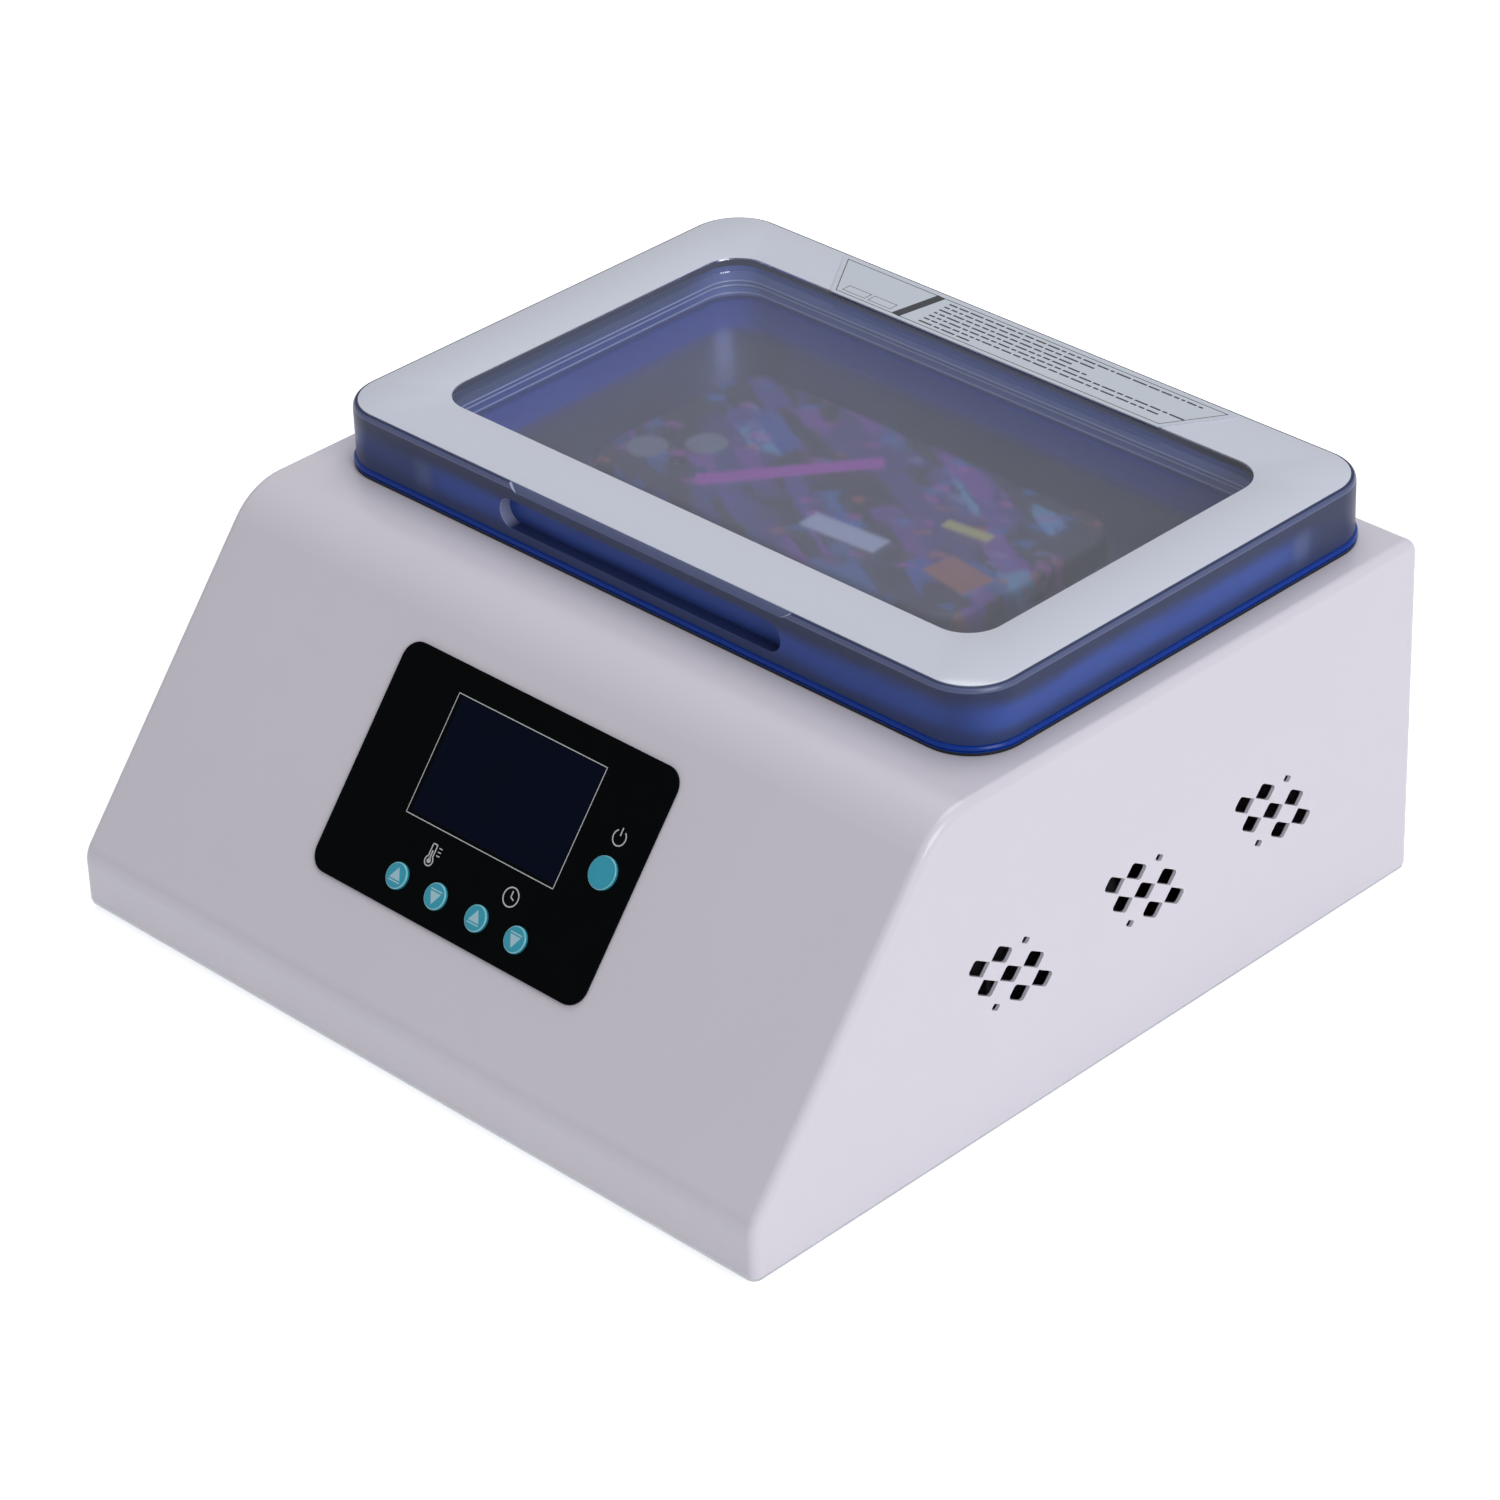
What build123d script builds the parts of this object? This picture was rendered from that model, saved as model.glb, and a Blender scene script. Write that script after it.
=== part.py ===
from build123d import *
from math import hypot
import os

# Table-top vacuum heat press: a sheet-metal housing with a sloping control face, a recessed
# heated chamber in its flat top, and a thick clear lid hinged along the rear edge.
# Millimetres, +Z up, +Y to the rear. The origin is on the floor, at the middle of the footprint.

# --- Driving dimensions ---------------------------------------------------------------------

# Housing
body_width = 300.0
body_depth = 297.0
body_height = 120.0
lip_height = 18.8
slope_run = 80.5
sheet = 1.2
lower_bend = 10.0
upper_bend = 25.0
rear_bend = 5.0
edge_round = 3.0
bottom_flange = 12.0
base_edge_inset = 0.3
base_slot_rows = 5
base_slot_length = 60.0
base_slot_width = 4.0
base_slot_pitch = 10.0

# Feet
foot_height = 3.0
foot_chamfer = 0.8
foot_radius = 9.0
foot_inset = 24.0
foot_stem_radius = 3.0
foot_cap_radius = 4.5
foot_cap_height = 1.5

# Lid and window
lid_side_margin = 10.9
lid_front_land = 26.8
lid_rear_gap = 6.5
lid_rise = 22.5
lid_corner = 18.0
lid_edge = 1.8
lid_roof = 5.5
window_border_x = 23.7
window_border_y = 24.2
window_corner = 12.5
cavity_step = 1.0
cavity_step_height = 4.2
top_frame_inset = 1.8
top_frame_corner = 16.0
top_frame_recess = 1.3
top_frame_proud = 0.2
pocket_length = 121.0
pocket_height = 10.2
pocket_depth = 4.2
pocket_drop = 10.6
relief_length = 120.0
relief_reach = 1.7
relief_depth = 1.6
label_top_width = 170.0
label_bottom_width = 141.0
label_overhang = 0.8
label_rear_margin = 1.2
label_thickness = 0.4

# Gasket and membrane, both under the lid
gasket_height = 3.2
gasket_overhang = 0.9
gasket_skirt = 2.5
gasket_skirt_depth = 9.0
gasket_skirt_clearance = 0.8
gasket_top_round = 1.1
gasket_bottom_round = 0.8
membrane_thickness = 0.5
membrane_bead_width = 7.0
membrane_bead_height = 1.0

# Chamber tray and heater
tray_sheet = 1.5
tray_flange = 16.0
tray_depth = 33.0
tray_outer_bend = 5.0
heater_plate_thickness = 5.0
heater_plate_chamfer = 1.0
heater_mat_thickness = 1.5
clamp_plate_thickness = 2.0
insulation_thickness = 9.0
heater_stack_inset = 8.0
heater_stud_inset_x = 19.9
heater_stud_inset_y = 16.9
stud_radius = 1.5
flange_stud_length = 7.0
flange_studs_across = 4
nut_across_flats = 5.5
nut_height = 2.4
probe_radius = 3.0
probe_length = 24.0
probe_bite = 3.0
probe_x = 60.0
probe_y_offset = 25.0
cutout_radius = 8.0
cutout_height = 6.0
cutout_x = -60.0
cutout_tab_width = 1.2
cutout_tab_depth = 3.6
cutout_tab_pitch = 8.0
cutout_tab_length = 6.0

# Mould, blank phone case and lens spacers
case_length = 162.0
case_width = 80.0
case_corner = 13.0
case_height = 10.0
case_wall = 1.5
case_edge_round = 2.5
case_top_below_gasket = 5.2
mould_foot_length = 168.0
mould_foot_width = 86.0
mould_foot_thickness = 4.0
mould_waist_inset = 9.0
mould_waist_corner = 8.5
lens_radius = 7.2
lens_inset_x = (26.2, 13.2)
lens_inset_y = (32.8, 18.8)
spacer_chamfer = 0.4
flash_radius = 2.4
charge_slot_length = 13.0
charge_slot_height = 4.4

# Vacuum circuit
barb_radius = 2.5
barb_bore = 1.4
hose_wall = 1.25
port_length = 9.0
port_height_above_floor = 17.0
port_spacing = 40.0
port_flange_radius = 6.0
port_flange = 2.0
pump_side_inset = 38.0
pump_barb_offset = 16.0
pump_axis_height = 32.0
pump_motor_radius = 19.0
pump_motor_length = 66.0
pump_motor_boss = 6.5
pump_head_size = 44.0
pump_head_length = 34.0
pump_bracket_sheet = 2.0
pump_head_front = 80.0
pump_foot_width = 48.0
pump_foot_length = 84.0
mount_height = 7.0
mount_radius = 6.0
valve_width = 22.0
valve_length = 26.0
valve_height = 34.0

# Control panel on the slope
panel_width = 119.5
panel_height = 77.3
panel_corner = 6.5
panel_up_slope = 70.0
panel_thickness = 0.8
screen_width = 64.4
screen_height = 39.4
screen_up = 9.9
screen_ledge = 1.0
small_button_radius = 4.3
start_button_radius = 5.3
button_row_drop = 28.6
button_pair_x = 17.6
button_pair_pitch = 17.2
button_row_shift = 1.4
start_button_x = 47.4
start_button_up = 1.3
button_proud = 1.0
button_travel = 0.6
button_clearance = 0.25
button_rim = 1.0
button_rim_thickness = 0.8
board_gap = 9.0
board_thickness = 1.6
board_width = 116.0
board_height = 74.0
board_hole_inset = 5.0
board_corner = 2.5
tact_size = 6.0
tact_height = 3.5
tact_plunger_radius = 1.75
tact_plunger_height = 1.2
display_margin = 2.0
standoff_radius = 2.8
screw_radius = 1.5
screw_head_radius = 2.8
screw_head_height = 1.8
screw_head_round = 0.6
screw_length = 5.0
driver_slot_width = 0.5
driver_slot_depth = 0.6

# Side vents: clusters of leaning diamond holes
vent_height = 52.5
vent_first_y = 109.6
vent_group_pitch = 59.6
vent_groups = 3
vent_pitch = 10.2
vent_row_pitch = 8.6
vent_lean = 3.6
vent_half_width = 4.9
vent_half_height = 3.8
vent_corner_lean = 1.5
vent_round = 1.3
vent_touching_round = 0.25
vent_small_scale = 0.42

# Rear panel, fan, inlet and switch
rear_cut_width = 204.0
rear_cut_height = 64.0
rear_cut_bottom = 18.0
rear_panel_lap = 8.0
rear_panel_sheet = 1.5
fan_size = 60.0
fan_depth = 20.0
fan_strut_width = 4.0
fan_strut_depth = 3.0
fan_corner = 5.0
fan_bore_radius = 28.5
fan_hub_radius = 14.0
fan_shaft_radius = 1.5
fan_hole_pitch = 50.0
fan_x = -50.0
fan_blades = 7
fan_blade_thickness = 1.4
fan_blade_pitch = 38.0
fan_tip_gap = 1.0
guard_wire = 0.9
guard_rings = 4
inlet_x = 72.0
inlet_width = 27.2
inlet_height = 20.0
inlet_depth = 26.0
inlet_flange = 2.4
inlet_flange_lap = 2.4
inlet_wall = 1.6
inlet_socket_depth = 16.0
inlet_pin_width = 4.0
inlet_pin_thickness = 2.0
inlet_pin_spread = 7.0
inlet_pin_drop = 1.5
inlet_earth_rise = 3.0
inlet_tab_length = 8.0
switch_x = 22.0
switch_width = 19.0
switch_height = 13.0
switch_depth = 16.0
switch_bezel_lap = 1.6
switch_bezel = 1.8
rocker_tilt = 8.0
rocker_pivot_depth = 2.5
rocker_crown = 2.0
rocker_dip = 1.0
rocker_wedge_inset = 0.6
rocker_pin_radius = 1.0

# Power board
power_board_width = 70.0
power_board_length = 110.0
power_board_x = -79.0
power_board_y = 150.0
transformer_size = 34.0
transformer_height = 26.0
transformer_setback = 18.0
capacitor_radius = 8.0
capacitor_height = 26.0
capacitor_pitch = 24.0
capacitor_inset = 10.5
heatsink_length = 46.0
heatsink_depth = 16.0
heatsink_height = 24.0
heatsink_fins = 5
heatsink_wall = 2.4
heatsink_forward = 27.5

# Wiring
lead_radius = 1.2
lead_bend = 12.0
heater_lead_bend = 7.0
mains_lead_pitch = 7.0
mains_lead_y = 182.0
lead_pitch = 6.0
thin_lead_z = 30.0
pump_lead_side = 9.0
pump_lead_y = 215.0
fan_lead_x = -30.0
fan_lead_y = 161.0
pump_lead_x = -12.0
pump_lead_end_y = 145.0
heater_lead_in = 25.0
heater_lead_pitch = 12.0
heater_lead_forward = 16.0
heater_lead_turn_z = 52.0
probe_lead_x = -18.0
probe_lead_z = 40.0
probe_lead_y = 129.0
ribbon_width = 12.0
ribbon_thickness = 1.0
ribbon_x = -50.0
ribbon_up_slope = 45.0
ribbon_reach = 14.0
ribbon_bend = 7.0

# Hinges
hinge_x = 85.0
hinge_width = 50.0
hinge_screw_spread = 16.7
hinge_screw_stagger = 4.0
hinge_sheet = 2.0
hinge_pin_radius = 2.0
hinge_knuckle_radius = 4.0
hinge_wall_gap = 1.0
hinge_knuckle_length = 16.4
hinge_end_gap = 0.3
hinge_body_leaf_drop = 24.0
hinge_lid_leaf_rise = 13.0
hinge_swing_gap = 0.6
lid_hinge_screw_length = 12.0

# Clearances
slip = 0.1
running = 0.05
loose = 0.3

# --- Derived levels and planes --------------------------------------------------------------

overall_depth = body_depth + hinge_wall_gap + 2 * hinge_knuckle_radius
front_y = -overall_depth / 2
rear_y = front_y + body_depth
body_y = (front_y + rear_y) / 2

base_z = foot_height
shell_z = base_z + sheet
top_z = base_z + body_height
top_inner_z = top_z - sheet
floor_z = base_z + sheet

slope_rise = body_height - lip_height
slope = Plane(
    origin=(0, front_y, base_z + lip_height),
    x_dir=(1, 0, 0),
    z_dir=(0, -slope_rise, slope_run),
)

lid_width = body_width - 2 * lid_side_margin
lid_rear_y = rear_y - lid_rear_gap
lid_front_y = front_y + slope_run + lid_front_land
lid_depth = lid_rear_y - lid_front_y
lid_y = (lid_front_y + lid_rear_y) / 2
gasket_top_z = top_z + gasket_height
lid_top_z = top_z + lid_rise
lid_face_z = lid_top_z - top_frame_proud

window_width = lid_width - 2 * window_border_x
window_depth = lid_depth - 2 * window_border_y
opening_width = window_width + 2 * gasket_skirt
opening_depth = window_depth + 2 * gasket_skirt
opening_corner = window_corner + gasket_skirt

tray_floor_z = top_inner_z - tray_depth
tray_bottom_z = tray_floor_z - tray_sheet
plate_top_z = tray_floor_z + heater_plate_thickness
mat_z = tray_bottom_z - heater_mat_thickness
clamp_z = mat_z - clamp_plate_thickness
insulation_z = clamp_z - insulation_thickness
tray_front_y = lid_y - opening_depth / 2 - tray_sheet

case_top_z = gasket_top_z - case_top_below_gasket
case_back_z = case_top_z - case_wall

stack_width = opening_width - 2 * heater_stack_inset
stack_depth = opening_depth - 2 * heater_stack_inset

pump_x = body_width / 2 - pump_side_inset
vacuum_port_x = pump_x - pump_barb_offset
release_port_x = vacuum_port_x - port_spacing

hinge_axis_y = rear_y + hinge_wall_gap + hinge_knuckle_radius
hinge_axis_z = top_z + hinge_knuckle_radius

pieces = []


def finish(builder, label):
    """Name a finished piece and put it on the list of pieces to write."""
    builder.part.label = label
    pieces.append(builder)


def four_corners(width, depth, x=0.0, y=0.0):
    """The four corners of a rectangle, as points in a sketch plane."""
    return [
        (x + side * width / 2, y + end * depth / 2)
        for side in (-1, 1)
        for end in (-1, 1)
    ]


def pan_screws(plane, points, length):
    """Pan-head screws whose heads stand on a plane and whose shanks run back through it."""
    with BuildPart() as screws:
        with BuildSketch(plane):
            with Locations(*points):
                Circle(screw_head_radius)
        extrude(amount=screw_head_height)
        fillet(screws.edges().filter_by(GeomType.CIRCLE).group_by(
            lambda edge: plane.to_local_coords(edge.center()).Z)[-1], screw_head_round)
        with BuildSketch(plane):
            with Locations(*points):
                Circle(screw_radius)
        extrude(amount=-length)
    return screws


def hex_nuts(plane, points, height=nut_height):
    """Hexagon nuts standing on a plane, each with a slip fit on its stud."""
    with BuildPart() as nuts:
        with BuildSketch(plane):
            with Locations(*points):
                RegularPolygon(nut_across_flats / 2, 6, major_radius=False)
                Circle(stud_radius + running, mode=Mode.SUBTRACT)
        extrude(amount=height)
    return nuts


# --- Housing shell: one bent and welded sheet skin, open below ------------------------------

lower_corner = (front_y, base_z + lip_height)
upper_corner = (front_y + slope_run, top_z)
rear_corner = (rear_y, top_z)

base_screw_points = four_corners(
    body_width - bottom_flange - 2 * sheet, body_depth - bottom_flange - 2 * sheet, y=body_y)
base_screw_points += [
    (side * (body_width - bottom_flange - 2 * sheet) / 2, body_y) for side in (-1, 1)]
foot_points = four_corners(
    body_width - 2 * foot_inset, body_depth - 2 * foot_inset, y=body_y)

flange_stud_x = opening_width / 2 + tray_flange / 2
flange_stud_y = opening_depth / 2 + tray_flange / 2
flange_stud_pitch = opening_width / flange_studs_across
flange_stud_points = [
    ((index - (flange_studs_across - 1) / 2) * flange_stud_pitch, lid_y + side * flange_stud_y)
    for index in range(flange_studs_across)
    for side in (-1, 1)
]
flange_stud_points += [(side * flange_stud_x, lid_y) for side in (-1, 1)]

small_button_points = [
    (button_row_shift + pair * button_pair_x + side * button_pair_pitch / 2, -button_row_drop)
    for pair in (-1, 1)
    for side in (-1, 1)
]
start_button_point = (start_button_x, start_button_up)
panel_plane = Plane(
    origin=slope.from_local_coords((0, panel_up_slope, 0)),
    x_dir=slope.x_dir,
    z_dir=slope.z_dir,
)

# Which corners of each diamond touch a neighbour: left, top, right or bottom.
vent_cells = [
    (-1, -1, "RB"), (0, -1, "L"),
    (-1, 0, "TR"), (0, 0, "LR"), (1, 0, "LB"),
    (0, 1, "R"), (1, 1, "LT"),
]
vent_small_cells = [(1, -1), (-1, 1)]


def vent_cell(scale, touching):
    """A leaning diamond hole, with its free corners rounded more than its touching ones."""
    corners = {
        "L": (-vent_half_width * scale, 0),
        "T": (-vent_corner_lean * scale, vent_half_height * scale),
        "R": (vent_half_width * scale, 0),
        "B": (vent_corner_lean * scale, -vent_half_height * scale),
    }
    with BuildSketch() as cell:
        with BuildLine():
            Polyline(*corners.values(), close=True)
        make_face()
        for name, corner in corners.items():
            radius = vent_touching_round if name in touching else vent_round * scale
            fillet(cell.vertices().sort_by_distance((*corner, 0))[0], radius)
    return cell.sketch


def vent_place(group, column, row):
    """The centre of one vent hole, as (y, z)."""
    return (
        front_y + vent_first_y + group * vent_group_pitch + column * vent_pitch + row * vent_lean,
        base_z + vent_height - row * vent_row_pitch,
    )


rear_outside = Plane.XZ.offset(-rear_y)
rear_cut_z = base_z + rear_cut_bottom + rear_cut_height / 2
hinge_points = [-hinge_x, hinge_x]
hinge_screw_points = [
    (x + side * hinge_screw_spread, top_z - hinge_body_leaf_drop / 2 - drop * hinge_screw_stagger)
    for x in hinge_points
    for side, drop in ((-1, 0), (0, 1), (1, 0))
]
rear_panel_screw_points = four_corners(
    rear_cut_width + rear_panel_lap, rear_cut_height - rear_panel_lap, y=rear_cut_z)
rear_panel_screw_points += [
    (0, rear_cut_z + side * (rear_cut_height + rear_panel_lap) / 2) for side in (-1, 1)]

with BuildPart() as housing_shell:
    with BuildSketch(Plane.YZ) as shell_profile:
        with BuildLine():
            Polyline(
                (front_y, shell_z), lower_corner, upper_corner, rear_corner, (rear_y, shell_z),
                close=True,
            )
        make_face()
        for corner, radius in (
            (lower_corner, lower_bend), (upper_corner, upper_bend), (rear_corner, rear_bend),
        ):
            fillet(shell_profile.vertices().sort_by_distance((*corner, 0))[0], radius)
    extrude(amount=body_width / 2, both=True)
    side_edges = housing_shell.faces().filter_by(Axis.X).edges()
    fillet(side_edges.filter_by(lambda edge: edge.center().Z > shell_z + sheet), edge_round)
    offset(amount=-sheet, openings=housing_shell.faces().sort_by(Axis.Z)[0])
    # return flange for the base screws
    with BuildSketch(Plane.XY.offset(shell_z)):
        with Locations((0, body_y)):
            RectangleRounded(body_width - 2 * sheet, body_depth - 2 * sheet, edge_round - sheet)
            Rectangle(
                body_width - 2 * sheet - 2 * bottom_flange,
                body_depth - 2 * sheet - 2 * bottom_flange,
                mode=Mode.SUBTRACT,
            )
        with Locations(*base_screw_points):
            Circle(screw_radius + slip, mode=Mode.SUBTRACT)
    extrude(amount=sheet)
    # chamber opening and the welded studs that hang the tray
    with BuildSketch(Plane.XY.offset(top_z)):
        with Locations((0, lid_y)):
            RectangleRounded(opening_width, opening_depth, opening_corner)
    extrude(amount=-2 * sheet, mode=Mode.SUBTRACT)
    with BuildSketch(Plane.XY.offset(top_inner_z)):
        with Locations(*flange_stud_points):
            Circle(stud_radius)
    extrude(amount=-flange_stud_length)
    # screen and button openings in the slope
    with BuildSketch(panel_plane):
        with Locations((0, screen_up)):
            Rectangle(screen_width - 2 * screen_ledge, screen_height - 2 * screen_ledge)
        with Locations(*small_button_points):
            Circle(small_button_radius + button_clearance)
        with Locations(start_button_point):
            Circle(start_button_radius + button_clearance)
    extrude(amount=-2 * sheet, mode=Mode.SUBTRACT)
    # side vents, the same on both sides
    with BuildSketch(Plane.YZ):
        for group in range(vent_groups):
            for column, row, touching in vent_cells:
                with Locations(vent_place(group, column, row)):
                    add(vent_cell(1.0, touching))
            for column, row in vent_small_cells:
                with Locations(vent_place(group, column, row)):
                    add(vent_cell(vent_small_scale, ""))
    extrude(amount=body_width, both=True, mode=Mode.SUBTRACT)
    # rear service opening and screw holes
    with BuildSketch(rear_outside):
        with Locations((0, rear_cut_z)):
            Rectangle(rear_cut_width, rear_cut_height)
        with Locations(*rear_panel_screw_points, *hinge_screw_points):
            Circle(screw_radius + slip)
    extrude(amount=2 * sheet, mode=Mode.SUBTRACT)
finish(housing_shell, "housing_shell")

# --- Base plate, its screws and the feet ----------------------------------------------------

pump_foot_y = front_y + pump_head_front + pump_head_length + pump_foot_length / 2
power_y = front_y + power_board_y
mount_points = four_corners(
    pump_foot_width - 2 * mount_radius, pump_foot_length - 2 * mount_radius,
    x=pump_x, y=pump_foot_y)
power_hole_points = four_corners(
    power_board_width - 2 * board_hole_inset, power_board_length - 2 * board_hole_inset,
    x=power_board_x, y=power_y)

with BuildPart() as base_plate:
    with BuildSketch(Plane.XY.offset(base_z)):
        with Locations((0, body_y)):
            RectangleRounded(
                body_width - 2 * base_edge_inset, body_depth - 2 * base_edge_inset, edge_round)
        with Locations(*foot_points):
            Circle(foot_stem_radius, mode=Mode.SUBTRACT)
        with Locations(*base_screw_points, *power_hole_points):
            Circle(screw_radius + slip, mode=Mode.SUBTRACT)
        with Locations((0, body_y)):
            with GridLocations(base_slot_length, base_slot_pitch, 1, base_slot_rows):
                SlotOverall(base_slot_length, base_slot_width, mode=Mode.SUBTRACT)
    extrude(amount=sheet)
    with BuildSketch(Plane.XY.offset(base_z)):
        with Locations(*base_screw_points, *power_hole_points):
            Circle(screw_radius + sheet + slip)
    extrude(amount=sheet, taper=45, mode=Mode.SUBTRACT)
finish(base_plate, "base_plate")


def countersunk_screws(points, length):
    """Countersunk screws, flush with the underside of the base plate."""
    with BuildPart() as screws:
        with BuildSketch(Plane.XY.offset(base_z)):
            with Locations(*points):
                Circle(screw_radius + sheet)
        extrude(amount=sheet, taper=45)
        with BuildSketch(Plane.XY.offset(base_z)):
            with Locations(*points):
                Circle(screw_radius)
        extrude(amount=length)
        with BuildSketch(Plane.XY.offset(base_z)):
            with Locations(*points):
                Rectangle(2 * screw_radius, driver_slot_width)
        extrude(amount=driver_slot_depth, mode=Mode.SUBTRACT)
    return screws


base_screws = countersunk_screws(base_screw_points, 2 * sheet + screw_length)
finish(base_screws, "base_screws")

with BuildPart() as feet:
    with BuildSketch(Plane.XY):
        with Locations(*foot_points):
            Circle(foot_radius)
    extrude(amount=foot_height)
    chamfer(feet.edges().filter_by(GeomType.CIRCLE).group_by(Axis.Z)[0], foot_chamfer)
    with BuildSketch(Plane.XY.offset(base_z)):
        with Locations(*foot_points):
            Circle(foot_stem_radius - slip)
    extrude(amount=sheet)
    with BuildSketch(Plane.XY.offset(floor_z)):
        with Locations(*foot_points):
            Circle(foot_cap_radius)
    extrude(amount=foot_cap_height)
finish(feet, "feet")

# --- Chamber tray, hanging below the opening ------------------------------------------------

heater_stud_points = four_corners(
    stack_width - 2 * heater_stud_inset_x, stack_depth - 2 * heater_stud_inset_y, y=lid_y)
heater_stud_length = (
    heater_mat_thickness + clamp_plate_thickness + insulation_thickness + nut_height + loose)
port_z = tray_floor_z + port_height_above_floor
probe_y = lid_y + probe_y_offset
port_points = [(vacuum_port_x, port_z), (release_port_x, port_z)]
tray_front_plane = Plane.XZ.offset(-tray_front_y)

with BuildPart() as chamber_tray:
    with BuildSketch(Plane.XY.offset(tray_bottom_z)):
        with Locations((0, lid_y)):
            RectangleRounded(
                opening_width + 2 * tray_sheet,
                opening_depth + 2 * tray_sheet,
                opening_corner + tray_sheet,
            )
    extrude(amount=top_inner_z - tray_bottom_z)
    fillet(chamber_tray.edges().group_by(Axis.Z)[0], tray_outer_bend)
    with BuildSketch(Plane.XY.offset(top_inner_z)):
        with Locations((0, lid_y)):
            RectangleRounded(
                opening_width + 2 * tray_flange,
                opening_depth + 2 * tray_flange,
                opening_corner,
            )
    extrude(amount=-tray_sheet)
    with BuildSketch(Plane.XY.offset(tray_floor_z)):
        with Locations((0, lid_y)):
            RectangleRounded(opening_width, opening_depth, opening_corner)
    extrude(amount=tray_depth, mode=Mode.SUBTRACT)
    fillet(
        chamber_tray.edges().filter_by_position(
            Axis.Z, tray_floor_z - slip / 2, tray_floor_z + slip / 2),
        tray_outer_bend - tray_sheet,
    )
    with BuildSketch(Plane.XY.offset(tray_bottom_z)):
        with Locations(*heater_stud_points):
            Circle(stud_radius)
    extrude(amount=-heater_stud_length)
    with BuildSketch(Plane.XY.offset(tray_bottom_z)):
        with Locations((probe_x, probe_y)):
            Circle(probe_radius + slip)
    extrude(amount=2 * tray_sheet, mode=Mode.SUBTRACT)
    with BuildSketch(Plane.XY.offset(top_inner_z)):
        with Locations(*flange_stud_points):
            Circle(stud_radius + slip)
    extrude(amount=-2 * tray_sheet, mode=Mode.SUBTRACT)
    with BuildSketch(tray_front_plane):
        with Locations(*port_points):
            Circle(barb_radius + running)
    extrude(amount=-2 * tray_sheet, mode=Mode.SUBTRACT)
finish(chamber_tray, "chamber_tray")

# --- Gasket: a lipped silicone ring under the lid, and the membrane clamped in it -----------

membrane_z = gasket_top_z - membrane_bead_height
bead_reach = 2 * cavity_step

with BuildPart() as lid_gasket:
    with BuildSketch(Plane.XY.offset(top_z)):
        with Locations((0, lid_y)):
            RectangleRounded(
                lid_width + 2 * gasket_overhang,
                lid_depth + 2 * gasket_overhang,
                lid_corner + gasket_overhang,
            )
    extrude(amount=gasket_height)
    fillet(lid_gasket.edges().group_by(Axis.Z)[-1], gasket_top_round)
    fillet(lid_gasket.edges().group_by(Axis.Z)[0], gasket_bottom_round)
    with BuildSketch(Plane.XY.offset(top_z)):
        with Locations((0, lid_y)):
            RectangleRounded(
                opening_width - 2 * gasket_skirt_clearance,
                opening_depth - 2 * gasket_skirt_clearance,
                opening_corner - gasket_skirt_clearance,
            )
    extrude(amount=-gasket_skirt_depth)
    with BuildSketch(Plane.XY.offset(gasket_top_z)):
        with Locations((0, lid_y)):
            RectangleRounded(window_width, window_depth, window_corner)
    extrude(amount=-gasket_height - gasket_skirt_depth, mode=Mode.SUBTRACT)
    with BuildSketch(Plane.XY.offset(gasket_top_z)):
        with Locations((0, lid_y)):
            RectangleRounded(
                window_width + 2 * membrane_bead_width,
                window_depth + 2 * membrane_bead_width,
                window_corner + membrane_bead_width,
            )
    extrude(amount=-membrane_bead_height, mode=Mode.SUBTRACT)
finish(lid_gasket, "lid_gasket")

with BuildPart() as vacuum_membrane:
    with BuildSketch(Plane.XY.offset(membrane_z)):
        with Locations((0, lid_y)):
            RectangleRounded(
                window_width + 2 * membrane_bead_width - 2 * slip,
                window_depth + 2 * membrane_bead_width - 2 * slip,
                window_corner + membrane_bead_width - slip,
            )
    extrude(amount=membrane_bead_height)
    with BuildSketch(Plane.XY.offset(gasket_top_z)):
        with Locations((0, lid_y)):
            RectangleRounded(
                window_width + 2 * bead_reach,
                window_depth + 2 * bead_reach,
                window_corner + bead_reach,
            )
    extrude(amount=membrane_thickness - membrane_bead_height, mode=Mode.SUBTRACT)
finish(vacuum_membrane, "vacuum_membrane")

# --- Heater stack: plate in the tray, mat, clamp plate and insulation below -----------------

with BuildPart() as heater_plate:
    with BuildSketch(Plane.XY.offset(tray_floor_z)):
        with Locations((0, lid_y)):
            RectangleRounded(
                opening_width - 2 * tray_outer_bend,
                opening_depth - 2 * tray_outer_bend,
                opening_corner - tray_outer_bend,
            )
    extrude(amount=heater_plate_thickness)
    chamfer(heater_plate.edges().group_by(Axis.Z)[-1], heater_plate_chamfer)
    with BuildSketch(Plane.XY.offset(tray_floor_z)):
        with Locations((probe_x, probe_y)):
            Circle(probe_radius + slip)
    extrude(amount=probe_bite, mode=Mode.SUBTRACT)
finish(heater_plate, "heater_plate")


def stack_layer(low_z, thickness, probe_hole, cutout_hole):
    """A flat layer under the tray, drilled for the studs, the probe and the thermal cut-out."""
    with BuildPart() as layer:
        with BuildSketch(Plane.XY.offset(low_z)):
            with Locations((0, lid_y)):
                RectangleRounded(stack_width, stack_depth, opening_corner - heater_stack_inset)
            with Locations(*heater_stud_points):
                Circle(stud_radius + slip, mode=Mode.SUBTRACT)
            with Locations((probe_x, probe_y)):
                Circle(probe_hole, mode=Mode.SUBTRACT)
            if cutout_hole:
                with Locations((cutout_x, lid_y)):
                    Circle(cutout_hole, mode=Mode.SUBTRACT)
        extrude(amount=thickness)
    return layer


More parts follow.
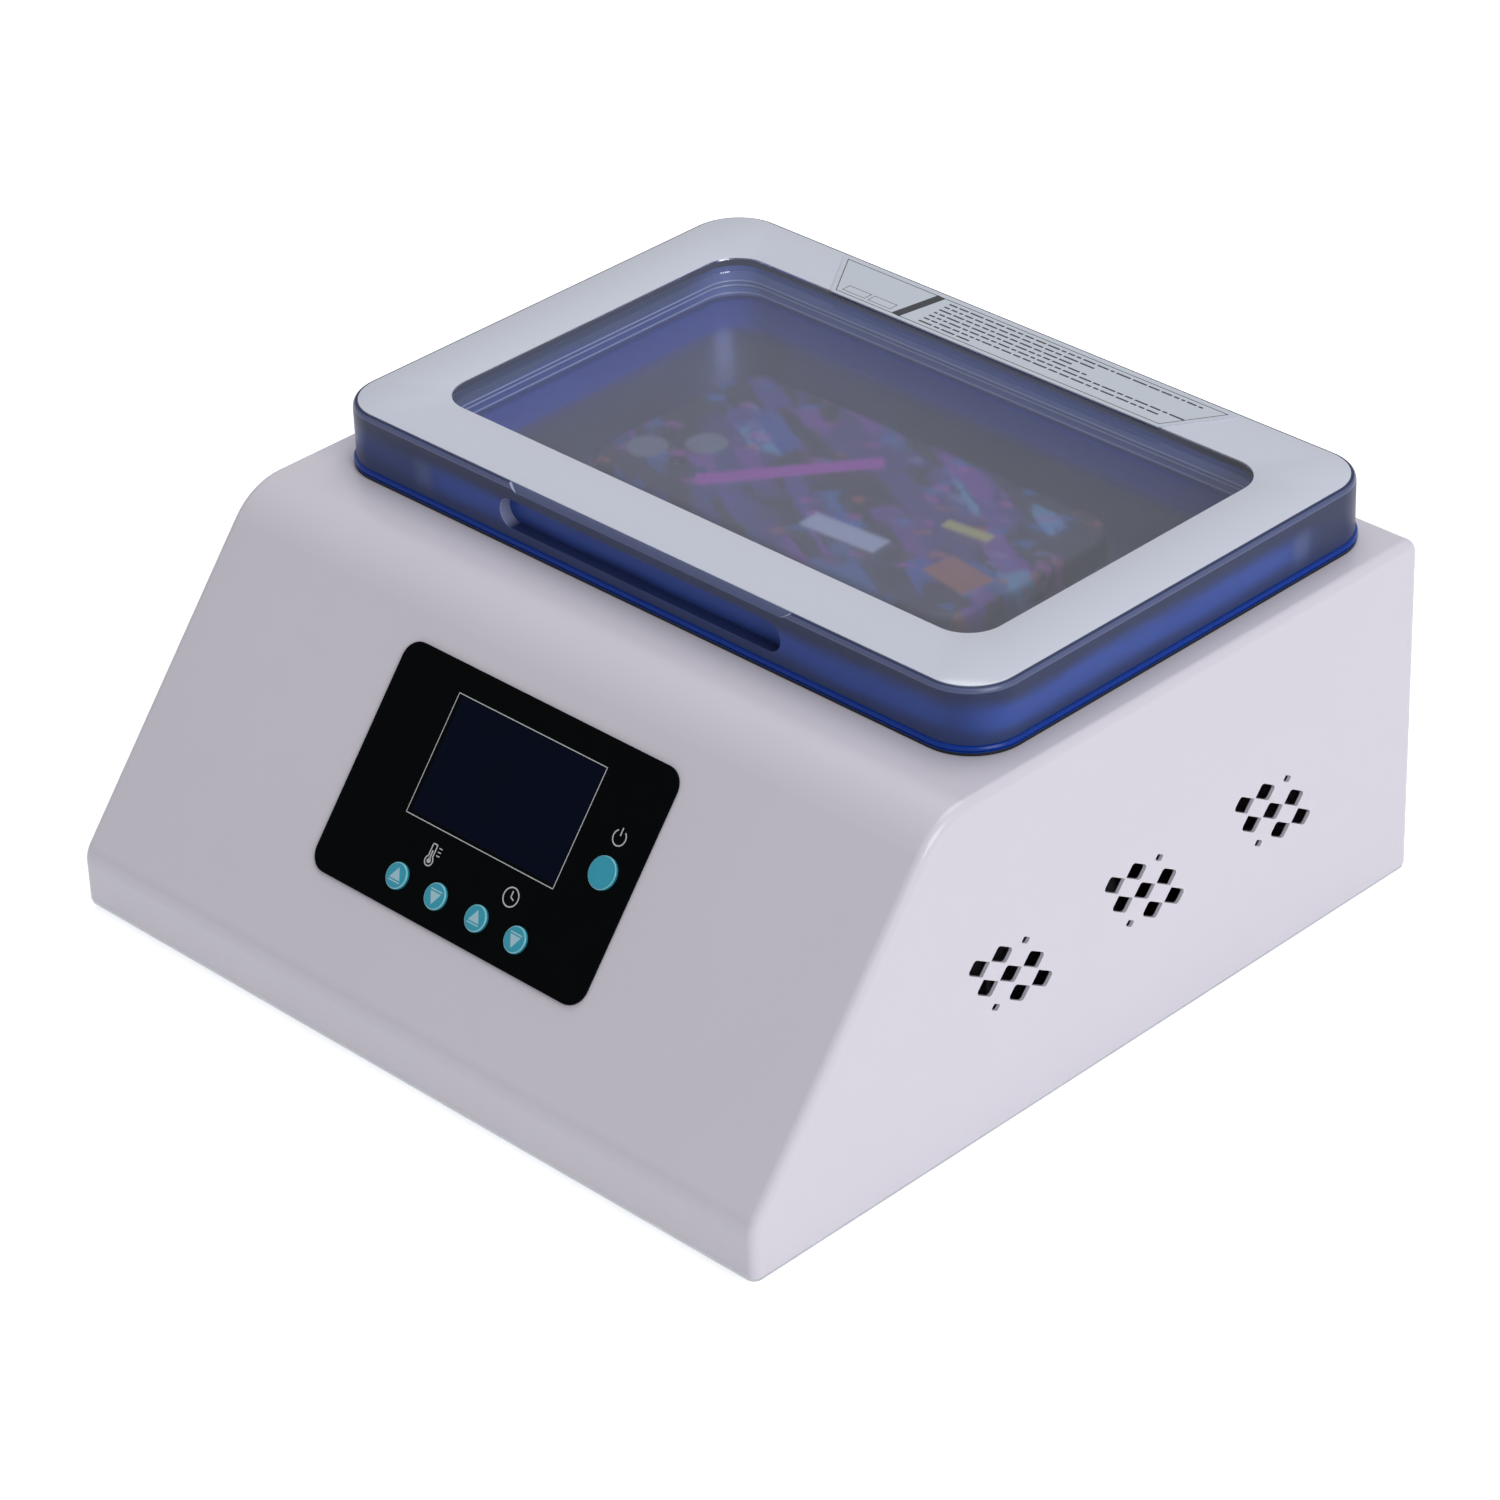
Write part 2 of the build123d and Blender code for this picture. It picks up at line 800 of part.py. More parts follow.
heater_mat = stack_layer(mat_z, heater_mat_thickness, probe_radius + slip, 0)
finish(heater_mat, "heater_mat")
heater_clamp_plate = stack_layer(clamp_z, clamp_plate_thickness, probe_radius + slip, 0)
finish(heater_clamp_plate, "heater_clamp_plate")
insulation_board = stack_layer(
    insulation_z, insulation_thickness, probe_radius + slip, cutout_radius + 2 * loose)
finish(insulation_board, "insulation_board")

with BuildPart() as temperature_probe:
    with BuildSketch(Plane.XY.offset(tray_floor_z + probe_bite - slip)):
        with Locations((probe_x, probe_y)):
            Circle(probe_radius)
    extrude(amount=-probe_length)
finish(temperature_probe, "temperature_probe")

with BuildPart() as thermal_cutout:
    with BuildSketch(Plane.XY.offset(clamp_z)):
        with Locations((cutout_x, lid_y)):
            Circle(cutout_radius)
    extrude(amount=-cutout_height)
    with BuildSketch(Plane.XY.offset(clamp_z - cutout_height)):
        with Locations((cutout_x, lid_y)):
            with GridLocations(cutout_tab_pitch, cutout_tab_pitch, 2, 1):
                Rectangle(cutout_tab_width, cutout_tab_depth)
    extrude(amount=-cutout_tab_length)
finish(thermal_cutout, "thermal_cutout")

flange_nuts = hex_nuts(Plane.XY.offset(top_inner_z - tray_sheet - nut_height), flange_stud_points)
stack_nuts = hex_nuts(Plane.XY.offset(insulation_z - nut_height), heater_stud_points)
with BuildPart() as chamber_nuts:
    add(flange_nuts.part)
    add(stack_nuts.part)
finish(chamber_nuts, "chamber_nuts")

# --- Mould, blank phone case and lens spacers in the chamber --------------------------------

case_front_y = lid_y - case_width / 2
lens_points = [
    (-case_length / 2 + inset_x, case_front_y + inset_y)
    for inset_x, inset_y in zip(lens_inset_x, lens_inset_y)
]
flash_point = (
    -case_length / 2 + (lens_inset_x[0] + lens_inset_x[1]) / 2 + lens_radius,
    case_front_y + (lens_inset_y[0] + lens_inset_y[1]) / 2 - lens_radius,
)
case_under_z = case_top_z - case_height

with BuildPart() as phone_mould:
    with BuildSketch(Plane.XY.offset(plate_top_z)):
        with Locations((0, lid_y)):
            RectangleRounded(mould_foot_length, mould_foot_width, case_corner)
    extrude(amount=mould_foot_thickness)
    with BuildSketch(Plane.XY.offset(plate_top_z)):
        with Locations((0, lid_y)):
            RectangleRounded(
                case_length - 2 * mould_waist_inset,
                case_width - 2 * mould_waist_inset,
                mould_waist_corner,
            )
    extrude(amount=case_under_z - plate_top_z)
    with BuildSketch(Plane.XY.offset(case_under_z)):
        with Locations((0, lid_y)):
            RectangleRounded(
                case_length - 2 * case_wall - 2 * slip,
                case_width - 2 * case_wall - 2 * slip,
                case_corner - case_wall,
            )
    extrude(amount=case_back_z - case_under_z - slip)
    chamfer(phone_mould.edges().group_by(Axis.Z)[-1], case_edge_round - slip)
finish(phone_mould, "phone_mould")

with BuildPart() as phone_case:
    with BuildSketch(Plane.XY.offset(case_under_z)):
        with Locations((0, lid_y)):
            RectangleRounded(case_length, case_width, case_corner)
    extrude(amount=case_height)
    fillet(phone_case.edges().group_by(Axis.Z)[-1], case_edge_round)
    with BuildSketch(Plane.XY.offset(case_under_z)):
        with Locations((0, lid_y)):
            RectangleRounded(
                case_length - 2 * case_wall, case_width - 2 * case_wall, case_corner - case_wall)
    extrude(amount=case_height - case_wall, mode=Mode.SUBTRACT)
    with BuildSketch(Plane.XY.offset(case_back_z)):
        with Locations(*lens_points):
            Circle(lens_radius)
        with Locations(flash_point):
            Circle(flash_radius)
    extrude(amount=2 * case_wall, mode=Mode.SUBTRACT)
    with BuildSketch(Plane.YZ.offset(case_length / 2)):
        with Locations((lid_y, case_under_z + case_height / 2 - slip)):
            SlotOverall(charge_slot_length, charge_slot_height)
    extrude(amount=-2 * case_wall, mode=Mode.SUBTRACT)
finish(phone_case, "phone_case")

with BuildPart() as lens_spacers:
    with BuildSketch(Plane.XY.offset(case_back_z - slip)):
        with Locations(*lens_points):
            Circle(lens_radius - slip)
    extrude(amount=case_wall + slip)
    chamfer(lens_spacers.edges().group_by(Axis.Z)[-1], spacer_chamfer)
finish(lens_spacers, "lens_spacers")

# --- Vacuum circuit: two ports, hoses, release valve and pump -------------------------------

hose_bore_radius = barb_radius + running
hose_radius = hose_bore_radius + hose_wall
pump_axis_z = base_z + pump_axis_height
pump_head_y = front_y + pump_head_front
pump_top_z = pump_axis_z + pump_head_size / 2
valve_y = pump_head_y + pump_head_length / 2
valve_top_z = floor_z + valve_height

with BuildPart() as chamber_ports:
    with BuildSketch(tray_front_plane.offset(-tray_sheet - port_flange)):
        with Locations(*port_points):
            Circle(port_flange_radius)
    extrude(amount=port_flange)
    with BuildSketch(tray_front_plane):
        with Locations(*port_points):
            RegularPolygon(port_flange_radius, 6)
    extrude(amount=port_flange)
    with BuildSketch(tray_front_plane.offset(-tray_sheet)):
        with Locations(*port_points):
            Circle(barb_radius)
    extrude(amount=tray_sheet + port_length)
    with BuildSketch(tray_front_plane.offset(-tray_sheet - port_flange)):
        with Locations(*port_points):
            Circle(barb_bore)
    extrude(amount=tray_sheet + 2 * port_flange + port_length, mode=Mode.SUBTRACT)
finish(chamber_ports, "chamber_ports")


def hose(x, end_z):
    """A hose from a port in the tray's front wall, forward, and down onto a barb."""
    start = (x, tray_front_y - port_flange, port_z)
    turn = (x, valve_y, port_z)
    end = (x, valve_y, end_z)
    with BuildPart() as tube:
        with BuildLine() as route:
            FilletPolyline(start, turn, end, radius=start[1] - valve_y - port_length)
        with BuildSketch(Plane(origin=start, z_dir=(0, -1, 0))):
            Circle(hose_radius)
            Circle(hose_bore_radius, mode=Mode.SUBTRACT)
        sweep(path=route.line)
    return tube


vacuum_tube = hose(vacuum_port_x, pump_top_z)
release_tube = hose(release_port_x, valve_top_z)
with BuildPart() as air_hoses:
    add(vacuum_tube.part)
    add(release_tube.part)
finish(air_hoses, "air_hoses")


def upright_barb(x, y, z):
    """An upright hose barb for the top of a fitting."""
    with BuildPart() as barb:
        with BuildSketch(Plane.XY.offset(z)):
            with Locations((x, y)):
                Circle(barb_radius)
                Circle(barb_bore, mode=Mode.SUBTRACT)
        extrude(amount=port_length)
    return barb.part


valve_barb = upright_barb(release_port_x, valve_y, valve_top_z)
with BuildPart() as release_valve:
    with BuildSketch(Plane.XY.offset(floor_z)):
        with Locations((release_port_x, valve_y)):
            Rectangle(valve_width, valve_length)
    extrude(amount=valve_height)
    fillet(release_valve.edges().filter_by(Axis.Z), 2 * sheet)
    add(valve_barb)
finish(release_valve, "release_valve")

bracket_y = pump_head_y + pump_head_length
foot_plate_z = floor_z + mount_height

pump_barb = upright_barb(vacuum_port_x, valve_y, pump_top_z)
with BuildPart() as pump_head:
    with BuildSketch(Plane.XZ.offset(-bracket_y)):
        with Locations((pump_x, pump_axis_z)):
            RectangleRounded(pump_head_size, pump_head_size, edge_round)
    extrude(amount=pump_head_length)
    cover_edges = pump_head.edges().group_by(Axis.Y)[0]
    chamfer(cover_edges, sheet)
    add(pump_barb)
finish(pump_head, "pump_head")

with BuildPart() as pump_bracket:
    with BuildSketch(Plane.XY.offset(foot_plate_z)):
        with Locations((pump_x, pump_foot_y)):
            Rectangle(pump_foot_width, pump_foot_length)
        with Locations(*mount_points):
            Circle(stud_radius + slip, mode=Mode.SUBTRACT)
    extrude(amount=pump_bracket_sheet)
    with BuildSketch(Plane.XZ.offset(-bracket_y)):
        with Locations((pump_x, (foot_plate_z + pump_top_z) / 2)):
            Rectangle(pump_foot_width, pump_top_z - foot_plate_z)
    extrude(amount=-pump_bracket_sheet)
finish(pump_bracket, "pump_bracket")

motor_y = bracket_y + pump_bracket_sheet
with BuildPart() as pump_motor:
    with BuildSketch(Plane.XZ.offset(-motor_y)):
        with Locations((pump_x, pump_axis_z)):
            Circle(pump_motor_radius)
    extrude(amount=-pump_motor_length)
    fillet(pump_motor.edges().group_by(Axis.Y)[-1], edge_round)
    with BuildSketch(Plane.XZ.offset(-motor_y - pump_motor_length)):
        with Locations((pump_x, pump_axis_z)):
            Circle(pump_motor_boss)
    extrude(amount=-edge_round)
finish(pump_motor, "pump_motor")

with BuildPart() as pump_mounts:
    with BuildSketch(Plane.XY.offset(floor_z)):
        with Locations(*mount_points):
            Circle(mount_radius)
    extrude(amount=mount_height)
    with BuildSketch(Plane.XY.offset(foot_plate_z)):
        with Locations(*mount_points):
            Circle(stud_radius)
    extrude(amount=pump_bracket_sheet + nut_height)
finish(pump_mounts, "pump_mounts")

# --- Control panel: overlay, window, display, board, switches and buttons -------------------

shell_back = panel_plane.offset(-sheet)
board_front = panel_plane.offset(-sheet - board_gap)
board_hole_points = four_corners(
    board_width - 2 * board_hole_inset, board_height - 2 * board_hole_inset)
button_points = small_button_points + [start_button_point]

with BuildPart() as control_overlay:
    with BuildSketch(panel_plane):
        RectangleRounded(panel_width, panel_height, panel_corner)
        with Locations((0, screen_up)):
            Rectangle(screen_width, screen_height, mode=Mode.SUBTRACT)
        with Locations(*small_button_points):
            Circle(small_button_radius + button_clearance, mode=Mode.SUBTRACT)
        with Locations(start_button_point):
            Circle(start_button_radius + button_clearance, mode=Mode.SUBTRACT)
    extrude(amount=panel_thickness)
finish(control_overlay, "control_overlay")

with BuildPart() as display_window:
    with BuildSketch(panel_plane):
        with Locations((0, screen_up)):
            Rectangle(screen_width - 2 * running, screen_height - 2 * running)
    extrude(amount=panel_thickness)
finish(display_window, "display_window")

with BuildPart() as display_module:
    with BuildSketch(board_front):
        with Locations((0, screen_up)):
            Rectangle(screen_width + 2 * display_margin, screen_height + 2 * display_margin)
    extrude(amount=board_gap - slip)
finish(display_module, "display_module")

with BuildPart() as control_board:
    with BuildSketch(board_front):
        RectangleRounded(board_width, board_height, board_corner)
        with Locations(*board_hole_points):
            Circle(screw_radius + slip, mode=Mode.SUBTRACT)
    extrude(amount=-board_thickness)
finish(control_board, "control_board")

with BuildPart() as button_switches:
    with BuildSketch(board_front):
        with Locations(*button_points):
            Rectangle(tact_size, tact_size)
    extrude(amount=tact_height)
    with BuildSketch(board_front.offset(tact_height)):
        with Locations(*button_points):
            Circle(tact_plunger_radius)
    extrude(amount=tact_plunger_height)
finish(button_switches, "button_switches")


def push_button(point, radius):
    """A cap that stands proud of the overlay, with a rim behind the sheet and a stem."""
    stem_length = board_gap - tact_height - tact_plunger_height - button_travel - slip
    with BuildPart() as button:
        with BuildSketch(shell_back.offset(-running - button_rim_thickness)):
            with Locations(point):
                Circle(radius + button_rim)
        extrude(amount=button_rim_thickness)
        with BuildSketch(shell_back.offset(-running)):
            with Locations(point):
                Circle(radius)
        extrude(amount=sheet + running + panel_thickness + button_proud)
        outer_edge = button.edges().group_by(
            lambda edge: panel_plane.to_local_coords(edge.center()).Z)[-1]
        fillet(outer_edge, button_proud / 2)
        with BuildSketch(shell_back.offset(-stem_length)):
            with Locations(point):
                Circle(screw_radius)
        extrude(amount=stem_length)
    return button


button_names = ["button_temp_up", "button_temp_down", "button_time_up", "button_time_down"]
for name, point in zip(button_names, small_button_points):
    finish(push_button(point, small_button_radius), name)
finish(push_button(start_button_point, start_button_radius), "button_start")

# --- Power board on the base plate ----------------------------------------------------------

power_low_z = floor_z + board_gap
power_top_z = power_low_z + board_thickness


def standoffs(plane, points):
    """Round spacers with a screw bore, standing on a plane."""
    with BuildPart() as spacers:
        with BuildSketch(plane):
            with Locations(*points):
                Circle(standoff_radius)
                Circle(screw_radius + running, mode=Mode.SUBTRACT)
        extrude(amount=board_gap)
    return spacers


panel_standoffs = standoffs(board_front, board_hole_points)
power_standoffs = standoffs(Plane.XY.offset(floor_z), power_hole_points)
with BuildPart() as board_standoffs:
    add(panel_standoffs.part)
    add(power_standoffs.part)
finish(board_standoffs, "board_standoffs")

board_back = Plane(
    origin=board_front.offset(-board_thickness).origin,
    x_dir=board_front.x_dir,
    z_dir=-board_front.z_dir,
)
mirrored_holes = [(x, -y) for x, y in board_hole_points]
panel_screws = pan_screws(board_back, mirrored_holes, board_thickness + screw_length)
power_screws = pan_screws(
    Plane.XY.offset(power_top_z), power_hole_points, board_thickness + board_gap / 2 - slip)
plate_screws = countersunk_screws(power_hole_points, board_gap / 2)
with BuildPart() as board_screws:
    add(panel_screws.part)
    add(power_screws.part)
    add(plate_screws.part)
finish(board_screws, "board_screws")

with BuildPart() as power_board:
    with BuildSketch(Plane.XY.offset(power_low_z)):
        with Locations((power_board_x, power_y)):
            RectangleRounded(power_board_width, power_board_length, board_corner)
        with Locations(*power_hole_points):
            Circle(screw_radius + slip, mode=Mode.SUBTRACT)
    extrude(amount=board_thickness)
finish(power_board, "power_board")

transformer_y = power_y - transformer_setback
with BuildPart() as power_transformer:
    with BuildSketch(Plane.XY.offset(power_top_z)):
        with Locations((power_board_x, transformer_y)):
            RectangleRounded(transformer_size, transformer_size, board_corner)
    extrude(amount=transformer_height)
    chamfer(power_transformer.edges().group_by(Axis.Z)[-1], sheet)
finish(power_transformer, "power_transformer")

capacitor_y = power_y - power_board_length / 2 + capacitor_inset
with BuildPart() as power_capacitors:
    with BuildSketch(Plane.XY.offset(power_top_z)):
        with Locations((power_board_x, capacitor_y)):
            with GridLocations(capacitor_pitch, capacitor_pitch, 2, 1):
                Circle(capacitor_radius)
    extrude(amount=capacitor_height)
    fillet(power_capacitors.edges().group_by(Axis.Z)[-1], sheet)
finish(power_capacitors, "power_capacitors")

heatsink_y = power_y + heatsink_forward
fin_pitch = (heatsink_length - heatsink_wall) / (heatsink_fins - 1)
with BuildPart() as power_heatsink:
    with BuildSketch(Plane.XY.offset(power_top_z)):
        with Locations((power_board_x, heatsink_y)):
            Rectangle(heatsink_length, heatsink_wall)
        with Locations((power_board_x, heatsink_y + heatsink_depth / 2)):
            with GridLocations(fin_pitch, fin_pitch, heatsink_fins, 1):
                Rectangle(heatsink_wall, heatsink_depth)
    extrude(amount=heatsink_height)
finish(power_heatsink, "power_heatsink")

# --- Rear panel with fan, guard, inlet and rocker switch ------------------------------------

panel_face = rear_outside.offset(-rear_panel_sheet)
fan_point = (fan_x, rear_cut_z)
inlet_point = (inlet_x, rear_cut_z)
switch_point = (switch_x, rear_cut_z)
fan_hole_points = four_corners(fan_hole_pitch, fan_hole_pitch, x=fan_x, y=rear_cut_z)

with BuildPart() as rear_panel:
    with BuildSketch(rear_outside):
        with Locations((0, rear_cut_z)):
            RectangleRounded(
                rear_cut_width + 2 * rear_panel_lap, rear_cut_height + 2 * rear_panel_lap,
                edge_round)
        with Locations(*rear_panel_screw_points, *fan_hole_points):
            Circle(screw_radius + slip, mode=Mode.SUBTRACT)
        with Locations(fan_point):
            Circle(fan_bore_radius, mode=Mode.SUBTRACT)
        with Locations(inlet_point):
            Rectangle(inlet_width + 2 * slip, inlet_height + 2 * slip, mode=Mode.SUBTRACT)
        with Locations(switch_point):
            Rectangle(switch_width + 2 * slip, switch_height + 2 * slip, mode=Mode.SUBTRACT)
    extrude(amount=-rear_panel_sheet)
finish(rear_panel, "rear_panel")


def facing_out(plane):
    """The same plane turned to face the rear, so that local x runs along -X."""
    return Plane(origin=plane.origin, x_dir=(-1, 0, 0), z_dir=(0, 1, 0))


def turned(points):
    """Points of the rear planes, for a plane that faces out."""
    return [(-x, z) for x, z in points]


rear_panel_screws = pan_screws(
    facing_out(panel_face), turned(rear_panel_screw_points),
    rear_panel_sheet + sheet + screw_length)
finish(rear_panel_screws, "rear_panel_screws")

# The frame stands against the panel's inner face, inside the service opening.
strut_length = fan_size / 2 + fan_bore_radius
with BuildPart() as fan_frame:
    with BuildSketch(rear_outside):
        with Locations(fan_point):
            RectangleRounded(fan_size, fan_size, fan_corner)
            Circle(fan_bore_radius, mode=Mode.SUBTRACT)
        with Locations(*fan_hole_points):
            Circle(screw_radius + slip, mode=Mode.SUBTRACT)
    extrude(amount=fan_depth)
    with BuildSketch(rear_outside.offset(fan_depth - fan_strut_depth)):
        with Locations(fan_point):
            Circle(fan_hub_radius)
            Rectangle(strut_length, fan_strut_width)
            Rectangle(fan_strut_width, strut_length)
    extrude(amount=fan_strut_depth)
    with BuildSketch(rear_outside.offset(2 * fan_strut_depth)):
        with Locations(fan_point):
            Circle(fan_shaft_radius)
    extrude(amount=fan_depth - 2 * fan_strut_depth)
finish(fan_frame, "fan_frame")

rotor_depth = fan_depth - fan_strut_depth - 2 * loose - sheet
rotor_plane = rear_outside.offset(sheet)
rotor_hub_radius = fan_hub_radius - sheet
blade_start = rotor_hub_radius - 2 * sheet
blade_end = fan_bore_radius - fan_tip_gap
blade_chord = rotor_depth - 2 * sheet
rotor_centre = (fan_x, rear_y - sheet - rotor_depth / 2, rear_cut_z)


def fan_blade(index):
    """One flat blade, pitched about its own radius and turned to its place round the hub."""
    blade = Box(fan_blade_thickness, blade_chord, blade_end - blade_start, mode=Mode.PRIVATE)
    pitched = Rotation(0, 0, fan_blade_pitch) * blade
    raised = Pos(0, 0, (blade_start + blade_end) / 2) * pitched
    return Pos(*rotor_centre) * Rotation(0, index * 360 / fan_blades, 0) * raised


blades = [fan_blade(index) for index in range(fan_blades)]
with BuildPart() as fan_rotor:
    with BuildSketch(rotor_plane):
        with Locations(fan_point):
            Circle(rotor_hub_radius)
    extrude(amount=rotor_depth)
    add(blades)
    with BuildSketch(rotor_plane.offset(2 * fan_strut_depth - sheet - loose)):
        with Locations(fan_point):
            Circle(fan_shaft_radius + running)
    extrude(amount=fan_depth, mode=Mode.SUBTRACT)
finish(fan_rotor, "fan_rotor")

guard_thickness = 2 * guard_wire
guard_pitch = fan_bore_radius / guard_rings
guard_ear_radius = 2 * screw_radius
guard_plane = panel_face.offset(-guard_thickness)

with BuildPart() as fan_guard:
    with BuildSketch(panel_face):
        with Locations(fan_point):
            for ring in range(guard_rings, 0, -1):
                Circle(ring * guard_pitch + guard_wire)
                Circle(ring * guard_pitch - guard_wire, mode=Mode.SUBTRACT)
            for turn in (45, 135):
                Rectangle(hypot(fan_hole_pitch, fan_hole_pitch), 2 * guard_wire, rotation=turn)
        with Locations(*fan_hole_points):
            Circle(guard_ear_radius)
            Circle(screw_radius + slip, mode=Mode.SUBTRACT)
    extrude(amount=-guard_thickness)
finish(fan_guard, "fan_guard")

fan_screws = pan_screws(
    facing_out(guard_plane), turned(fan_hole_points),
    guard_thickness + rear_panel_sheet + fan_depth / 2)
finish(fan_screws, "fan_screws")

inlet_pins_at = [
    (inlet_x - inlet_pin_spread, rear_cut_z - inlet_pin_drop),
    (inlet_x, rear_cut_z + inlet_earth_rise),
    (inlet_x + inlet_pin_spread, rear_cut_z - inlet_pin_drop),
]
inlet_mouth = panel_face.offset(-inlet_flange)

with BuildPart() as mains_inlet:
    with BuildSketch(panel_face):
        with Locations(inlet_point):
            RectangleRounded(
                inlet_width + 2 * inlet_flange_lap, inlet_height + 2 * inlet_flange_lap, sheet)
    extrude(amount=-inlet_flange)
    with BuildSketch(panel_face):
        with Locations(inlet_point):
            Rectangle(inlet_width, inlet_height)
    extrude(amount=inlet_depth)
    with BuildSketch(inlet_mouth) as socket:
        with Locations(inlet_point):
            Rectangle(inlet_width - 2 * inlet_wall, inlet_height - 2 * inlet_wall)
        chamfer(socket.vertices().group_by(Axis.Y)[-1], inlet_pin_width)
    extrude(amount=inlet_flange + inlet_socket_depth, mode=Mode.SUBTRACT)
    with BuildSketch(panel_face):
        with Locations(*inlet_pins_at):
            Rectangle(inlet_pin_thickness + 2 * running, inlet_pin_width + 2 * running)
    extrude(amount=2 * inlet_depth, mode=Mode.SUBTRACT)
finish(mains_inlet, "mains_inlet")

with BuildPart() as inlet_pins:
    with BuildSketch(panel_face):
        with Locations(*inlet_pins_at):
            Rectangle(inlet_pin_thickness, inlet_pin_width)
    extrude(amount=inlet_depth + inlet_tab_length)
finish(inlet_pins, "inlet_pins")

rocker_radius = switch_height / 2 - inlet_wall - slip
rocker_width = switch_width - 2 * inlet_wall - 2 * slip
rocker_pin_length = inlet_wall - 2 * slip
rocker_pivot_y = rear_y + rear_panel_sheet - rocker_pivot_depth
rocker_reach = rocker_pivot_depth + switch_bezel + rocker_crown
rocker_half = rocker_radius - rocker_wedge_inset

with BuildPart() as switch_frame:
    with BuildSketch(panel_face):
        with Locations(switch_point):
            RectangleRounded(
                switch_width + 2 * switch_bezel_lap, switch_height + 2 * switch_bezel_lap, sheet)
    extrude(amount=-switch_bezel)
    with BuildSketch(panel_face):
        with Locations(switch_point):
            Rectangle(switch_width, switch_height)
    extrude(amount=switch_depth)
    with BuildSketch(panel_face.offset(-switch_bezel)):
        with Locations(switch_point):
            Rectangle(switch_width - 2 * inlet_wall, switch_height - 2 * inlet_wall)
    extrude(amount=switch_bezel + switch_depth - 2 * inlet_wall, mode=Mode.SUBTRACT)
    with BuildSketch(Plane.YZ.offset(switch_x)):
        with Locations((rocker_pivot_y, rear_cut_z)):
            Circle(rocker_pin_radius + running)
    extrude(amount=switch_width / 2 - inlet_wall + rocker_pin_length + slip, both=True,
            mode=Mode.SUBTRACT)
finish(switch_frame, "switch_frame")

rocker_plane = Plane(
    origin=(switch_x, rocker_pivot_y, rear_cut_z),
    x_dir=Vector(0, 1, 0).rotate(Axis.X, -rocker_tilt),
    z_dir=(1, 0, 0),
)
with BuildPart() as switch_rocker:
    with BuildSketch(rocker_plane):
        Circle(rocker_radius)
        with BuildLine():
            Polyline(
                (0, -rocker_half), (rocker_reach, -rocker_half),
                (rocker_reach - rocker_dip, 0),
                (rocker_reach, rocker_half), (0, rocker_half),
                close=True,
            )
        make_face()
    extrude(amount=rocker_width / 2, both=True)
    with BuildSketch(rocker_plane):
        Circle(rocker_pin_radius)
    extrude(amount=rocker_width / 2 + slip + rocker_pin_length, both=True)
finish(switch_rocker, "switch_rocker")

# --- Wiring: round leads to the power board, and the ribbon to the control board ------------

tab_end_y = rear_y + rear_panel_sheet - inlet_depth - inlet_tab_length
switch_back_y = rear_y + rear_panel_sheet - switch_depth
fan_back_y = rear_y - fan_depth
heater_lead_level = mat_z
probe_end_z = tray_floor_z + probe_bite - slip - probe_length
right_pad_x = power_board_x + power_board_width / 2 - board_hole_inset
left_pad_x = power_board_x - power_board_width / 2 + board_hole_inset


def round_lead(points, bend=lead_bend):
    """A round insulated lead along straight runs joined by arcs."""
    with BuildPart() as lead:
        with BuildLine() as route:
            FilletPolyline(*points, radius=bend)
        with BuildSketch(Plane(origin=points[0], z_dir=Vector(*points[1]) - Vector(*points[0]))):
            Circle(lead_radius)
        sweep(path=route.line)
    return lead.part


def level_lead(start, lane_x, lane_y, lane_z):
    """A lead from a fitting, forward along a lane, across to the board's right edge and down."""
    return round_lead([
        start,
        (lane_x, lane_y, lane_z),
        (right_pad_x, lane_y, lane_z),
        (right_pad_x, lane_y, power_top_z),
    ])


leads = []
# mains inlet, three leads
for index, (pin_x, pin_z) in enumerate(inlet_pins_at):
    lane_y = front_y + mains_lead_y - index * mains_lead_pitch
    leads.append(level_lead((pin_x, tab_end_y, pin_z), pin_x, lane_y, pin_z))
for index in range(2):
    step = index * lead_pitch
    # rocker switch
    switch_lead_x = switch_x + lead_pitch / 2 - step
    leads.append(level_lead(
        (switch_lead_x, switch_back_y, rear_cut_z), switch_lead_x,
        front_y + mains_lead_y + lead_pitch + step, rear_cut_z))
    # fan
    leads.append(level_lead(
        (fan_lead_x + step, fan_back_y, thin_lead_z), fan_lead_x + step,
        front_y + fan_lead_y - step, thin_lead_z))
    # pump motor, round behind the motor and forward again
    motor_lead_x = pump_x - pump_lead_side - step
    far_y = front_y + pump_lead_y + lead_pitch - step
    lane_x = pump_lead_x + step
    lane_y = front_y + pump_lead_end_y - step
    leads.append(round_lead([
        (motor_lead_x, motor_y + pump_motor_length, thin_lead_z),
        (motor_lead_x, far_y, thin_lead_z),
        (lane_x, far_y, thin_lead_z),
        (lane_x, lane_y, thin_lead_z),
        (right_pad_x, lane_y, thin_lead_z),
        (right_pad_x, lane_y, power_top_z),
    ]))
    # heater mat, out at its front edge, down, and across to the board's left edge
    mat_lead_x = left_pad_x + heater_lead_in + index * heater_lead_pitch
    mat_lead_y = lid_y - stack_depth / 2 - heater_lead_forward - index * heater_lead_pitch
    leads.append(round_lead([
        (mat_lead_x, lid_y - stack_depth / 2, heater_lead_level),
        (mat_lead_x, mat_lead_y, heater_lead_level),
        (mat_lead_x, mat_lead_y, heater_lead_turn_z),
        (left_pad_x, mat_lead_y, heater_lead_turn_z),
        (left_pad_x, mat_lead_y, power_top_z),
    ], heater_lead_bend))
